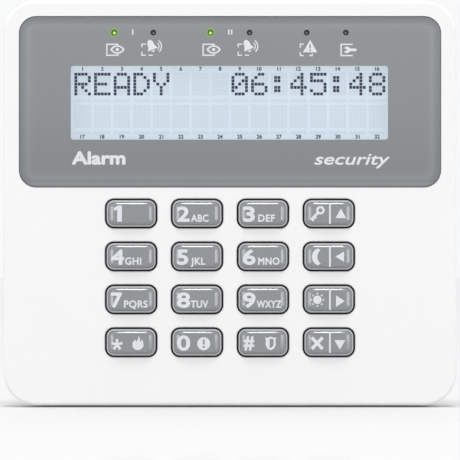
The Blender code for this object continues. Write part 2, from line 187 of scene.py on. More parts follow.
def feed(material, node, **inputs):
    for name, value in inputs.items():
        socket = node.inputs[name.replace("_", " ")]
        if isinstance(value, bpy.types.NodeSocket):
            material.node_tree.links.new(value, socket)
        else:
            socket.default_value = value
    return node


def finish(name, colour, roughness, grain=2500, grain_depth=0.00001, mottle=0.03, spread=60, **shader_values):
    """A surface with a fine grain, a colour that drifts a little over it, and an uneven gloss."""
    material = bpy.data.materials.new(name)
    material.use_nodes = True
    shader = feed(material, material.node_tree.nodes["Principled BSDF"], **shader_values)
    place = add_node(material, "TexCoord").outputs["Object"]
    drift = add_node(material, "TexNoise", Scale=spread, Detail=4, Vector=place)
    ramp = add_node(material, "ValToRGB", Fac=drift.outputs["Fac"])
    for stop, at, share in zip(ramp.color_ramp.elements, (0.3, 0.7), (1 - mottle, 1 + mottle)):
        stop.position = at
        stop.color = (*(min(channel * share, 1) for channel in colour), 1)
    speckle = add_node(material, "TexNoise", Scale=grain, Detail=3, Vector=place).outputs["Fac"]
    dullest = min(roughness * 1.15, 1)
    gloss = add_node(material, "MapRange", To_Min=roughness * 0.85, To_Max=dullest, Value=speckle)
    bump = add_node(material, "Bump", Distance=grain_depth, Height=speckle)
    feed(material, shader, Base_Color=ramp.outputs["Color"], Roughness=gloss.outputs["Result"])
    feed(material, shader, Normal=bump.outputs["Normal"])
    return material


housing_white = finish(
    "housing white", (0.80, 0.787, 0.793), 0.36, grain=5200, grain_depth=0.000006, mottle=0.006
)
_, rim_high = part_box("back_base")
cover_low, cover_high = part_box("front_cover")
cover_size = (cover_high.x - cover_low.x, cover_high.z - cover_low.z)
housing_corner = 0.010
cover_wall = 0.0022
base_inset = cover_high.x - rim_high.x
lip_inset = cover_wall + 0.0003
cavity_inset = lip_inset + 0.0012
rim_front_y = cover_high.y + 0.0003
lip_front_y = -0.0092
plate_front_y = -0.0020


def quarter_round(y, inset, radius, towards_front, steps=5):
    """Profile entries for an edge rounding that ends flush with y at the face and with inset at the side."""
    entries = []
    for step in range(steps + 1):
        angle = math.pi / 2 * step / steps
        depth = radius * (1 - math.sin(angle))
        entries.append((y + depth * (1 if towards_front else -1), inset + radius * (1 - math.cos(angle))))
    return entries[::-1] if towards_front else entries


plate = [(rim_front_y, base_inset), (-0.0008, base_inset)] + quarter_round(0, base_inset, 0.0008, False)[1:]
base = moulded("wall_base", (0, 0), cover_size, housing_corner, plate, 14, housing_white)
lip = [(lip_front_y, lip_inset), (-0.005, lip_inset)]
carve_moulding(base, (0, 0), cover_size, housing_corner, lip, 14, "UNION")
cavity = [(-0.02, cavity_inset), (plate_front_y - 0.0006, cavity_inset)]
cavity += quarter_round(plate_front_y, cavity_inset, 0.0006, False)[1:]
carve_moulding(base, (0, 0), cover_size, housing_corner, cavity, 14)

hook_x, latch_x = 0.040, 0.035
cable_hole = ((0, 0.0145), (0.028, 0.018))
wall_screws = [(x, z) for z in (0.046, -0.046) for x in (-0.050, 0.050)]
tear_off = Vector((-0.042, -0.012))
lip_outer_z = cover_size[1] / 2 - lip_inset
lip_inner_z = cover_size[1] / 2 - cavity_inset


def add_base_tongues(bm):
    for x in (-hook_x, hook_x):
        add_box(bm, (x - 0.006, -0.0102, lip_inner_z + 0.0001), (x + 0.006, -0.008, lip_outer_z - 0.0001))


def add_latch_pockets(bm):
    for x in (-latch_x, latch_x):
        add_box(bm, (x - 0.0043, -0.02, -lip_outer_z - 0.0006), (x + 0.0043, -0.0040, -lip_inner_z + 0.0003))


def add_base_ribs(bm):
    for x in (-0.0284, 0.0284):
        add_box(bm, (x - 0.0005, -0.0034, -0.0525), (x + 0.0005, -0.001, 0.0525))
    for z in (-0.036, 0.036):
        add_box(bm, (0.0292, -0.0034, z - 0.0005), (0.062, -0.001, z + 0.0005))
        add_box(bm, (-0.062, -0.0034, z - 0.0005), (-0.0292, -0.001, z + 0.0005))


def add_base_studs(bm):
    add_rod(bm, (tear_off.x, tear_off.y + 0.0065), 0.0018, -0.0046, -0.001)
    for x, z in wall_screws:
        add_moulding(bm, (x, z), (0.0130, 0.0130), 0.0064, [(-0.0032, 0), (-0.001, 0)], steps=10)
    add_moulding(bm, *cable_hole, 0, [(-0.0030, -0.0013), (-0.001, -0.0013)], steps=6)


def add_base_holes(bm):
    cable_sides = [(-0.004, 0), (-0.0004, 0), (0.0001, -0.0005), (0.01, -0.0005)]
    add_moulding(bm, *cable_hole, 0.003, cable_sides, steps=6)
    for x, z in wall_screws:
        slot = (0.0076, 0.0040) if z > 0 else (0.0040, 0.0076)
        add_moulding(bm, (x, z), slot, 0.0019, [(-0.0016, 0), (0.01, 0)], steps=8)
    add_rod(bm, tear_off, 0.0020, -0.0033, 0.01, sides=24)


def add_screw_seats(bm):
    """The wider part of each wall screw's slot, which takes the screw's head."""
    for x, z in wall_screws:
        slot = (0.0112, 0.0076) if z > 0 else (0.0076, 0.0112)
        add_moulding(bm, (x, z), slot, 0.0037, [(-0.0050, -0.0004), (-0.0015, 0)], steps=8)


def add_tear_off_slots(bm):
    """Three curved slots, which leave narrow bridges for the disc to tear at."""
    bridge = math.radians(9)
    for third in range(3):
        start = third * math.tau / 3 + bridge
        sweep = math.tau / 3 - 2 * bridge
        angles = [start + sweep * k / 16 for k in range(17)]
        ring = [(0.0090, a) for a in angles] + [(0.0100, a) for a in reversed(angles)]
        flat = [(tear_off.x + r * math.cos(a), tear_off.y + r * math.sin(a)) for r, a in ring]
        add_skin(bm, [[(x, y, z) for x, z in flat] for y in (-0.0031, 0.01)])


carve(base, add_base_tongues, "UNION")
carve(base, add_latch_pockets)
carve(base, add_base_ribs, "UNION")
carve(base, add_base_studs, "UNION")
carve(base, add_base_holes)
carve(base, add_screw_seats)
carve(base, add_tear_off_slots)
soften(base)
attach(base, "wall_base")
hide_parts("back_base")

# Latch tabs: two springy tongues of the same white ABS at the base's lower edge. Each nib has a sloping
# front face, so it slides over the cover's wall and then snaps into its window.

for node in ("latch_1", "latch_2"):
    low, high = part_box(node)
    middle_x = (low.x + high.x) / 2

    def add_tab(bm):
        face = -lip_outer_z + 0.0001
        side = [
            (high.y, face),
            (-0.0095, face),
            (-0.0095, low.z),
            (-0.0099, low.z),
            (-0.0109, face - 0.0002),
            (low.y, face + 0.0002),
            (low.y, high.z - 0.0002),
            (high.y, high.z),
        ]
        add_skin(bm, [[(x, y, z) for y, z in side] for x in (low.x, high.x)])

    tab = shaped(node.replace("latch", "latch_tab"), add_tab, housing_white)
    soften(tab, 0.00012)
    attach(tab, "wall_base")
    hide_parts(node)

# Main board: glass-fibre laminate under green solder resist, with copper tracks that show as raised paler
# lines and tinned rings round its screw holes.

track_pitch = 0.0014


def colour_mix(material, share, first, second, blend_type="MIX"):
    """The first colour with this share of the second."""
    mix = material.node_tree.nodes.new("ShaderNodeMix")
    mix.data_type = "RGBA"
    mix.blend_type = blend_type
    return feed(material, mix, Factor=share, A=first, B=second).outputs["Result"]


def board_finish(name, shift):
    """Green solder resist over tracks that run in steps along X and Z."""
    material = finish(name, (0.012, 0.115, 0.045), 0.28, grain=1800, mottle=0.08, Coat_Weight=0.25)
    nodes = material.node_tree.nodes
    place = add_node(material, "TexCoord").outputs["Object"]
    turn = add_node(material, "Mapping", Rotation=(math.pi / 2, 0, 0), Location=(shift, shift, 0))
    feed(material, turn, Vector=place)
    tracks = add_node(material, "TexBrick", Scale=1, Brick_Width=track_pitch * 9, Row_Height=track_pitch)
    feed(material, tracks, Mortar_Size=track_pitch * 0.14, Mortar_Smooth=0.3, Vector=turn.outputs["Vector"])
    tracks.offset = 0.37
    tracks.squash = 0.6
    tracks.squash_frequency = 3
    resist, track_green = nodes["Color Ramp"].outputs["Color"], (0.035, 0.23, 0.085, 1)
    colour = colour_mix(material, tracks.outputs["Fac"], resist, track_green)
    feed(material, nodes["Principled BSDF"], Base_Color=colour)
    feed(material, nodes["Bump"], Distance=0.00004, Height=tracks.outputs["Fac"])
    return material


board_green = board_finish("solder resist", 0.0)
solder = finish("solder", (0.72, 0.72, 0.70), 0.22, grain=900, mottle=0.06, Metallic=1.0)
board_low, board_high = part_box("main_board")
board_size = (board_high.x - board_low.x, board_high.z - board_low.z)
boss_places = [(x, z) for z in (0.052, -0.002, -0.050) for x in (-0.061, 0.061)]
board_foot_y = board_high.y + 0.0003  # where the parts on the wall side begin

board_sides = [(board_low.y, 0), (board_high.y, 0)]
board = moulded("main_board", (0, 0), board_size, 0.005, board_sides, 6, board_green)


def add_screw_holes(bm):
    for place in boss_places:
        add_rod(bm, place, 0.0014, -0.02, 0.0, sides=24)


carve(board, add_screw_holes)
soften(board, 0.00008, segments=2)
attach(board, "front")
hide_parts("main_board")


def circle(centre, radius, y, sides):
    """Points round a circle that faces along Y."""
    turns = [math.tau * k / sides for k in range(sides)]
    return [(centre[0] + radius * math.cos(a), y, centre[1] + radius * math.sin(a)) for a in turns]


def add_washer(bm, centre, inner, outer, front, back, sides=32):
    """A flat ring along Y."""
    profile = ((inner, front), (outer, front), (outer, back), (inner, back))
    add_skin(bm, [circle(centre, radius, y, sides) for radius, y in profile], closed_ends=False)


def centre_of(node):
    low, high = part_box(node)
    return (low + high) / 2


def face_size(low, high):
    """Width and height of a box seen from the front."""
    return high.x - low.x, high.z - low.z


def middle_of(node):
    """The node's centre as (x, z)."""
    return centre_of(node).x, centre_of(node).z


chip = centre_of("microcontroller")
terminal_low, terminal_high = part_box("terminal_block")
pin_pitch = 0.00254
terminal_pitch = 0.005


def add_solder_lands(bm):
    """Tinned copper: rings round the screw holes and the vias."""
    top = board_high.y + 0.00004
    for place in boss_places:
        add_washer(bm, place, 0.0015, 0.0030, board_high.y - 0.0001, top)
    vias = [
        (-0.052 + 0.0116 * column + 0.0021 * row, 0.028 + 0.0057 * row - 0.0008 * (column % 3))
        for row in range(3)
        for column in range(9)
    ]
    vias += [
        (-0.030 + 0.0083 * column, -0.0235 - 0.0026 * row + 0.0007 * (column % 2))
        for row in range(2)
        for column in range(8)
    ]
    for place in vias:
        add_washer(bm, place, 0.00018, 0.00042, board_high.y - 0.0001, top, sides=12)


lands = shaped("solder_lands", add_solder_lands, solder)
soften(lands)
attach(lands, "front")

# Small surface-mounted parts: ceramic capacitors and resistors with tinned ends, placed by machine in rows
# next to the chip and the regulator, and reflow soldered.

ceramic_tan = finish("capacitor ceramic", (0.42, 0.27, 0.14), 0.45, grain=3000, mottle=0.1)
resistor_black = finish("resistor glaze", (0.02, 0.02, 0.022), 0.3, grain=3000, mottle=0.1)


def chip_places():
    """(x, z, quarter turns, is a resistor) of each small part."""
    places = [(chip.x - 0.0105 + 0.0042 * k, chip.z + 0.0092, 0, k % 2 == 0) for k in range(6)]
    places += [(chip.x - 0.0105 + 0.0050 * k, chip.z - 0.0092, 0, k % 3 == 0) for k in range(5)]
    places += [(0.0300, -0.0300 + 0.0036 * k, 1, k % 2 == 1) for k in range(4)]
    places += [(-0.050 + 0.0044 * k, 0.0405, 0, k % 2 == 1) for k in range(11)]
    places += [(0.030 + 0.0045 * k, 0.0330, 1, k % 2 == 0) for k in range(6)]
    places += [(-0.055, -0.024 - 0.0040 * k, 1, k % 2 == 0) for k in range(5)]
    places += [(0.0130 + 0.0040 * k, -0.0400, 1, k % 2 == 0) for k in range(4)]
    return places


for kind, (wanted, body_finish) in {
    "resistors": (True, resistor_black),
    "ceramic_capacitors": (False, ceramic_tan),
}.items():
    height = 0.00045 if wanted else 0.0009

    def add_small_parts(bm):
        for x, z, turns, is_resistor in chip_places():
            if is_resistor != wanted:
                continue
            long_x, long_z = (0.0010, 0.0006) if turns == 0 else (0.0006, 0.0010)
            low = (x - long_x, board_high.y, z - long_z)
            add_box(bm, low, (x + long_x, board_high.y + height, z + long_z))

    bodies = shaped(kind, add_small_parts, body_finish, solder)

    def add_tinned_ends(bm):
        for x, z, turns, is_resistor in chip_places():
            if is_resistor != wanted:
                continue
            for end in (-1, 1):
                across, along = 0.00064, 0.00022
                shift = 0.00084 * end
                mid = (x + shift, z) if turns == 0 else (x, z + shift)
                half = (along, across) if turns == 0 else (across, along)
                low = (mid[0] - half[0], board_high.y - 0.00002, mid[1] - half[1])
                add_box(bm, low, (mid[0] + half[0], board_high.y + height + 0.00003, mid[1] + half[1]))

    ends = shaped(kind + "_ends", add_tinned_ends, solder)
    for group in (bodies, ends):
        soften(group, 0.00006, segments=2)
        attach(group, "front")

# Board screws: six self-tapping pan-head screws of plated steel with a cross recess. They hold the board to
# the cover's bosses.

plated = finish("bright plating", (0.66, 0.66, 0.64), 0.24, grain=1500, mottle=0.05, Metallic=1.0)


def add_turned(bm, centre, foot_y, profile, sides=32, towards_wall=True):
    """A turned solid: profile lists (radius, height above foot_y), from the top's middle downwards."""
    way = 1 if towards_wall else -1
    smallest = 0.000001  # a point at the middle would give faces with no area
    places = [(max(radius, smallest), foot_y + way * height) for radius, height in profile]
    add_skin(bm, [circle(centre, radius, y, sides) for radius, y in places])


for number, (x, z) in enumerate(boss_places, 1):
    slopes = [math.radians(degrees) for degrees in range(0, 91, 15)]
    head = [(0.0023 * math.sin(a), 0.0004 + 0.0012 * math.cos(a)) for a in slopes]
    thread = []
    for turn in range(10):
        depth = -0.0006 - 0.0005 * turn
        thread += [(0.00080, depth + 0.00015), (0.00100, depth - 0.0001)]
    profile = head + [(0.0023, 0), (0.0010, 0)] + thread + [(0.0004, -0.0060)]
    screw = shaped(
        f"board_screw_{number}", lambda bm: add_turned(bm, (x, z), board_foot_y - 0.00025, profile), plated
    )
    for half_x, half_z in ((0.0014, 0.0003), (0.0003, 0.0014)):
        recess_y = board_foot_y + 0.0006
        recess_low = (x - half_x, recess_y, z - half_z)
        recess_high = (x + half_x, recess_y + 0.005, z + half_z)
        carve(screw, lambda bm: add_box(bm, recess_low, recess_high))
    soften(screw, angle=40)
    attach(screw, "front")
    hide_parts(f"board_screw_{number}")

# Microcontroller and regulator: black epoxy bodies with a moulded edge and a pin-one dimple, on formed
# tinned leads that are soldered to the board.

epoxy = finish("moulded epoxy", (0.022, 0.022, 0.024), 0.42, grain=2600, grain_depth=0.00002, mottle=0.1)


def add_lead(bm, x, z, out, half, reach, height):
    """A gull-wing lead that leaves a body along out and steps down to the board."""
    across = Vector((-out[1], out[0]))
    path = [(0, height), (reach * 0.35, height), (reach * 0.5, 0.00012), (reach, 0.00012)]
    loops = []
    for side in (-1, 1):
        for lift in (-0.00007, 0.00007):
            loop = []
            for along, up in path:
                px = x + out[0] * along + across.x * half * side
                pz = z + out[1] * along + across.y * half * side
                loop.append(bm.verts.new((px, board_high.y + up + lift, pz)))
            loops.append(loop)
    order = [loops[0], loops[1], loops[3], loops[2]]
    faces = []
    for one, other in zip(order, order[1:] + order[:1]):
        for k in range(len(path) - 1):
            faces.append(bm.faces.new((one[k], one[k + 1], other[k + 1], other[k])))
    faces.append(bm.faces.new([loop[0] for loop in order]))
    faces.append(bm.faces.new([loop[-1] for loop in order]))
    bmesh.ops.recalc_face_normals(bm, faces=faces)


for node, leads_per_side, sides, reach in (
    ("microcontroller", 11, ((1, 0), (-1, 0), (0, 1), (0, -1)), 0.0012),
    ("voltage_regulator", 1, ((0, 1),), 0.0018),
):
    low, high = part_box(node)
    size = (high.x - low.x - 0.0016, high.z - low.z - 0.0016)
    middle = ((low.x + high.x) / 2, (low.z + high.z) / 2)
    waist = (low.y + high.y) / 2
    body = moulded(node, middle, size, 0.0004, [(low.y, 0.0002), (waist, 0), (high.y, 0.0002)], 4, epoxy)
    dimple = (middle[0] - size[0] / 2 + 0.0012, middle[1] + size[1] / 2 - 0.0012)
    carve(body, lambda bm: add_rod(bm, dimple, 0.0004, high.y - 0.0001, high.y + 0.001, sides=24))
    soften(body, 0.00008, segments=2)
    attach(body, "front")
    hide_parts(node)

    def add_leads(bm):
        for out in sides:
            half_side = (size[0] if out[0] else size[1]) / 2
            for k in range(leads_per_side):
                along = 0.0008 * (k - (leads_per_side - 1) / 2)
                x = middle[0] + out[0] * (half_side - 0.0002) + (along if out[1] else 0)
                z = middle[1] + out[1] * (half_side - 0.0002) + (along if out[0] else 0)
                add_lead(bm, x, z, out, 0.00017, reach, waist - board_high.y)
        if node == "voltage_regulator":
            for x in (-0.0022, 0.0022):
                add_lead(bm, middle[0] + x, low.z + 0.0009, (0, -1), 0.0004, reach, waist - board_high.y)
            tab_z = high.z - 0.0009
            tab_high = (high.x - 0.0008, board_high.y + 0.0005, tab_z + 0.0015)
            add_box(bm, (low.x + 0.0008, board_high.y, tab_z), tab_high)

    leads = shaped(node + "_leads", add_leads, solder)
    soften(leads)
    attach(leads, "front")

# Quartz crystal and electrolytic capacitor: drawn aluminium cans, the crystal's with a flange at its foot and
# the capacitor's with a crimped groove and a scored vent in its top.

can_metal = finish("drawn can", (0.68, 0.68, 0.67), 0.26, grain=1100, mottle=0.05, Metallic=1.0)
low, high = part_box("crystal")
crystal_size = (high.x - low.x, high.z - low.z)
flange = [(low.y - 0.00025, 0), (low.y + 0.0002, 0), (low.y + 0.0003, 0.0004), (high.y - 0.0004, 0.0004)]
flange += quarter_round(high.y, 0.0004, 0.0004, False)[1:]
crystal_corner = crystal_size[1] / 2 - 0.0001
crystal = moulded("crystal", middle_of("crystal"), crystal_size, crystal_corner, flange, 10, can_metal)
soften(crystal)
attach(crystal, "front")
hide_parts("crystal")

low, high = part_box("capacitor")
can_radius = (high.x - low.x) / 2
can_height = high.y - board_high.y
can_centre = ((low.x + high.x) / 2, (low.z + high.z) / 2)
can_profile = [(0.0, can_height - 0.00015), (can_radius - 0.0006, can_height - 0.00015)]
can_profile += [(can_radius - 0.0004, can_height), (can_radius - 0.00015, can_height - 0.0001)]
can_profile += [(can_radius, can_height - 0.0004), (can_radius, 0.0018), (can_radius - 0.0003, 0.0015)]
can_profile += [(can_radius, 0.0012), (can_radius, 0.0010)]
capacitor = shaped(
    "capacitor", lambda bm: add_turned(bm, can_centre, board_high.y, can_profile, sides=40), can_metal
)
for arm in range(2):
    half = (0.0016, 0.00008) if arm else (0.00008, 0.0016)
    carve(
        capacitor,
        lambda bm: add_box(
            bm,
            (can_centre[0] - half[0], high.y - 0.0003, can_centre[1] - half[1]),
            (can_centre[0] + half[0], high.y + 0.001, can_centre[1] + half[1]),
        ),
    )
soften(capacitor)
foot_sides = [(board_high.y, 0), (board_high.y + 0.0011, 0)]
foot = moulded("capacitor_foot", can_centre, (0.0066, 0.0066), 0.0008, foot_sides, 3, epoxy)
soften(foot, 0.0001)
for piece in (capacitor, foot):
    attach(piece, "front")
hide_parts("capacitor")

# Buzzer: a black moulded drum with a sound hole in the middle of its end, soldered through the board.

low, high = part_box("buzzer")
buzzer_radius = (high.x - low.x) / 2
buzzer_height = high.y - board_high.y
rim = [(0.0008, buzzer_height - 0.0014), (0.0010, buzzer_height - 0.0001), (0.0013, buzzer_height)]
rim += [(0.0028, buzzer_height), (0.0029, buzzer_height - 0.0002), (0.0034, buzzer_height - 0.0002)]
rim += [(0.0035, buzzer_height), (buzzer_radius - 0.0006, buzzer_height)]
rim += [(buzzer_radius - 0.0002, buzzer_height - 0.0001), (buzzer_radius, buzzer_height - 0.0004)]
rim += [(buzzer_radius, 0.0006), (buzzer_radius - 0.0002, 0.0005), (buzzer_radius - 0.0002, 0.0001)]
drum = [(0, rim[0][1])] + rim
buzzer = shaped("buzzer", lambda bm: add_turned(bm, middle_of("buzzer"), board_high.y, drum, sides=48), epoxy)
soften(buzzer)
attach(buzzer, "front")
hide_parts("buzzer")

# Pin strips: the display's sixteen-way strip and the white five-way service header. Square tinned pins pass
# through a moulded bar with a notch between every two ways.

nylon_white = finish("white nylon", (0.74, 0.73, 0.69), 0.5, grain=2000, mottle=0.03)
for node, ways, bar_finish, material_slot in (
    ("lcd_connector", 16, epoxy, "component_black"),
    ("service_header", 5, nylon_white, "nylon_white"),
):
    low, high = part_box(node)
    middle_z = (low.z + high.z) / 2
    middle_x = (low.x + high.x) / 2
    bar_back = low.y + 0.0025

    def add_bar(bm):
        for way in range(ways):
            x = middle_x + pin_pitch * (way - (ways - 1) / 2)
            bar_sides = [(board_high.y, 0), (bar_back, 0)]
            add_moulding(bm, (x, middle_z), (pin_pitch, high.z - low.z), 0.0006, bar_sides, steps=1)

    bar = shaped(node, add_bar, bar_finish)
    soften(bar, 0.00007, segments=2)

    def add_pins(bm):
        for way in range(ways):
            x = middle_x + pin_pitch * (way - (ways - 1) / 2)
            profile = [(bar_back - 0.0002, 0), (high.y - 0.0003, 0), (high.y, 0.00012)]
            add_moulding(bm, (x, middle_z), (0.00064, 0.00064), 0.0001, profile, steps=1)

    pins = shaped(node + "_pins", add_pins, solder)
    soften(pins)
    for piece in (bar, pins):
        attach(piece, "front")
    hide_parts(node)

# Terminal block: a black nylon block with four ways. Each way has a clamping screw in a well and a wire mouth
# on the upper side. The slotted screws are plated steel.

well_depth = 0.0026
ways = [terminal_pitch * (k - 1.5) for k in range(4)]
terminal_z = (terminal_low.z + terminal_high.z) / 2
terminal_size = (terminal_high.x - terminal_low.x, terminal_high.z - terminal_low.z)
block_sides = [(board_high.y, 0), (terminal_high.y, 0)]
block = moulded("terminal_block", (0, terminal_z), terminal_size, 0.0003, block_sides, 3, epoxy)


def add_terminal_wells(bm):
    for x in ways:
        well = [(0.0023, 0.01), (0.0023, -0.0003), (0.0019, -0.0007), (0.0019, -well_depth)]
        add_turned(bm, (x, terminal_z - 0.0005), terminal_high.y, well, sides=28)


def add_wire_mouths(bm):
    for x in ways:
        low = (x - 0.0016, board_foot_y + 0.0014, terminal_z + 0.0010)
        add_box(bm, low, (x + 0.0016, board_foot_y + 0.0044, terminal_z + 0.02))


def add_way_grooves(bm):
    for x in [-2 * terminal_pitch, -terminal_pitch, 0, terminal_pitch, 2 * terminal_pitch]:
        add_box(bm, (x - 0.00012, terminal_high.y - 0.0002, -0.05), (x + 0.00012, 0, 0.05))


carve(block, add_terminal_wells)
carve(block, add_wire_mouths)
carve(block, add_way_grooves)
soften(block)
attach(block, "front")
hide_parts("terminal_block")

for number, x in enumerate(ways, 1):
    low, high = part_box(f"terminal_screw_{number}")
    head = [(0.0, 0.0013), (0.0013, 0.0013), (0.00155, 0.00115), (0.0016, 0.0009), (0.0016, 0)]
    slot_z = terminal_z - 0.0005
    screw = shaped(f"terminal_screw_{number}", lambda bm: add_turned(bm, (x, slot_z), low.y, head), plated)
    slot_low = (x - 0.003, low.y + 0.0007, slot_z - 0.0003)
    slot_high = (x + 0.003, high.y + 0.01, slot_z + 0.0003)
    carve(screw, lambda bm: add_box(bm, slot_low, slot_high))
    soften(screw)
    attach(screw, "front")
    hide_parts(f"terminal_screw_{number}")

# Tamper switch: a black snap-action switch with a small red plunger. Its bent steel lever turns on two lugs
# and is pushed by the post on the base's tear-off disc.

plunger_red = finish("red acetal", (0.45, 0.03, 0.02), 0.35, grain=2500, mottle=0.04)
low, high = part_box("tamper_switch")
pivot = Vector(next(j["pos_m"] for j in frame["joints"] if j["name"] == "tamper_lever_turn"))
switch_top = -0.0066
switch_centre, switch_size = (pivot.x, (low.z + high.z) / 2), (0.0060, high.z - low.z)
switch_sides = [(board_high.y, 0), (switch_top, 0)]
switch = moulded("tamper_switch", switch_centre, switch_size, 0.0003, switch_sides, 3, epoxy)


def add_switch_lugs(bm):
    for side in (-1, 1):
        x = pivot.x + side * 0.0026
        lug_low = (x - 0.0003, switch_top - 0.001, pivot.z - 0.0009)
        add_box(bm, lug_low, (x + 0.0003, pivot.y + 0.0006, pivot.z + 0.0009))


def add_switch_rivets(bm):
    for z in (-0.0045, 0.0028):
        add_rod(bm, (pivot.x, z), 0.0009, switch_top - 0.0003, switch_top + 0.003, sides=24)


carve(switch, add_switch_lugs, "UNION")
carve(switch, add_switch_rivets)
soften(switch)
tip = [(0, 0.00098), (0.0004, 0.00095), (0.0007, 0.0007), (0.0007, 0)]
plunger = shaped(
    "tamper_plunger", lambda bm: add_turned(bm, (pivot.x, -0.001), switch_top - 0.0004, tip), plunger_red
)
soften(plunger)
for piece in (switch, plunger):
    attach(piece, "front")
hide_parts("tamper_switch")

lever_length = 0.0110
lever_lean = math.radians(2.2)


def add_lever(bm):
    """A strip with a curled end and a pin through its upper end, in the lever's own slanted frame."""
    half, thick = 0.0016, 0.0004
    curl = [(0.0004 * math.cos(a), -lever_length + 0.0004 * math.sin(a)) for a in
            (math.radians(d) for d in range(180, 361, 20))]
    side = [(-thick / 2, 0.0004), (-thick / 2, -lever_length + 0.0004)] + curl
    side += [(0.0004, -lever_length + 0.0002), (thick / 2, -lever_length + 0.0007), (thick / 2, 0.0004)]
    add_skin(bm, [[(x, y, z) for y, z in side] for x in (-half, half)])
    pin_radius, pin_length = 0.00035, 0.0042
    pin = {"radius1": pin_radius, "radius2": pin_radius, "depth": pin_length}
    bmesh.ops.create_cone(bm, cap_ends=True, segments=16, matrix=Matrix.Rotation(math.pi / 2, 4, "Y"), **pin)
    bmesh.ops.recalc_face_normals(bm, faces=bm.faces)
    bm.transform(Matrix.Translation(pivot) @ Matrix.Rotation(lever_lean, 4, "X"))


lever = shaped("tamper_lever", add_lever, plated)
soften(lever, 0.00004, segments=2)
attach(lever, "tamper_lever")
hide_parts("tamper_lever")

# Keypad mat: one translucent grey silicone sheet, compression moulded, with a dome under each key. The domes
# are pieces of their own here, carried with the front half like the sheet.

silicone = finish(
    "silicone", (0.50, 0.51, 0.52), 0.55, grain=1500, mottle=0.04,
    Subsurface_Weight=0.15, Subsurface_Radius=(0.001,) * 3
)
key_nodes = [
    ["key_1", "key_2", "key_3", "key_up"],
    ["key_4", "key_5", "key_6", "key_left"],
    ["key_7", "key_8", "key_9", "key_right"],
    ["key_star", "key_0", "key_hash", "key_down"],
]
low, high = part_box("keypad_mat")
sheet_front = -0.0127
mat_sides = [(sheet_front, 0.0001), (sheet_front + 0.0001, 0), (high.y, 0)]
mat = moulded("keypad_mat", middle_of("keypad_mat"), face_size(low, high), 0.003, mat_sides, 6, silicone)


soften(mat)
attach(mat, "front")
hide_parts("keypad_mat")

dome_height = 0.0029
dome_wall = [(0.0, dome_height), (0.0022, dome_height), (0.0024, 0.0027), (0.0026, 0.0016)]
dome_wall += [(0.0036, 0), (0.0036, -0.0004)]
for node in sum(key_nodes, []):
    middle = centre_of(node)
    place = (middle.x, middle.z)

    def add_dome(bm):
        add_turned(bm, place, sheet_front, dome_wall, sides=28, towards_wall=False)

    dome = shaped(node + "_dome", add_dome, silicone)
    soften(dome)
    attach(dome, "front")
    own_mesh(dome)

# Display module: a glass cell with two lines of sixteen characters, lit from behind, between a thin steel
# bezel and its own green board. Four corner screws of the board are left out of its plain holes.

bezel_low, bezel_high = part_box("lcd_bezel")
glass_low, glass_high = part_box("lcd_glass")
light_low, light_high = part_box("lcd_backlight")
lcd_z = (glass_low.z + glass_high.z) / 2
sheet = 0.0004
viewing_area = (0.0990, 0.0244)

bezel_black = finish("blackened steel", (0.035, 0.036, 0.038), 0.45, grain=1800, mottle=0.05, Metallic=0.6)
bezel_size = face_size(bezel_low, bezel_high)
bezel_inside = (bezel_size[0] - 2 * sheet, bezel_size[1] - 2 * sheet)
bezel_sides = quarter_round(bezel_low.y, 0, 0.0003, True) + [(bezel_high.y, 0)]
bezel = moulded("lcd_bezel", (0, lcd_z), bezel_size, 0.001, bezel_sides, 4, bezel_black)
carve_moulding(bezel, (0, lcd_z), bezel_inside, 0.0006, [(bezel_low.y + sheet, 0), (0, 0)], 3)
carve_moulding(bezel, (0, lcd_z), viewing_area, 0.0004, [(-0.03, 0), (0, 0)], 3)
soften(bezel)
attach(bezel, "front")
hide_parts("lcd_bezel")


def lit_finish(name, colour, glow, roughness=0.25):
    """A surface lit from behind: its own colour glows a little and drifts across the display."""
    material = finish(name, colour, roughness, grain=1800, mottle=0.012, spread=25)
    shader = material.node_tree.nodes["Principled BSDF"]
    shader.inputs["Emission Strength"].default_value = glow
    material.node_tree.links.new(
        material.node_tree.nodes["Color Ramp"].outputs["Color"], shader.inputs["Emission Color"]
    )
    return material


lit_glass = lit_finish("lit display ground", (0.3045, 0.345, 0.384), 1.47)
cell_sides = [(glass_low.y, 0), (glass_high.y, 0)]
cell = moulded("lcd_glass", (0, lcd_z), face_size(glass_low, glass_high), 0.0002, cell_sides, 2, lit_glass)
soften(cell, 0.0001, segments=2)
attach(cell, "front")
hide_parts("lcd_glass")

light_size = face_size(light_low, light_high)
light_sides = [(light_low.y, 0.0003), (light_low.y + 0.0003, 0), (light_high.y, 0)]
diffuser = moulded("lcd_backlight", (0, lcd_z), light_size, 0.0006, light_sides, 3, nylon_white)
soften(diffuser, 0.0001, segments=2)
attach(diffuser, "front")
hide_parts("lcd_backlight")

low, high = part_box("lcd_board")
lcd_resist = board_finish("display board resist", 0.0004)
lcd_board = moulded(
    "lcd_board", (0, lcd_z), face_size(low, high), 0.0006, [(low.y, 0), (high.y, 0)], 3, lcd_resist
)


def add_lcd_board_holes(bm):
    for x in (-0.0548, 0.0548):
        for z in (-0.0165, 0.0165):
            add_rod(bm, (x, lcd_z + z), 0.0012, -0.03, 0.0, sides=24)


carve(lcd_board, add_lcd_board_holes)
soften(lcd_board, 0.00006, segments=2)
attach(lcd_board, "front")
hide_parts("lcd_board")

# Display characters: five by eight dots each, in the cell's liquid crystal. Driven dots turn navy, and the
# resting ones stay just visible as a faint grid. Each character has its number printed above or below it.

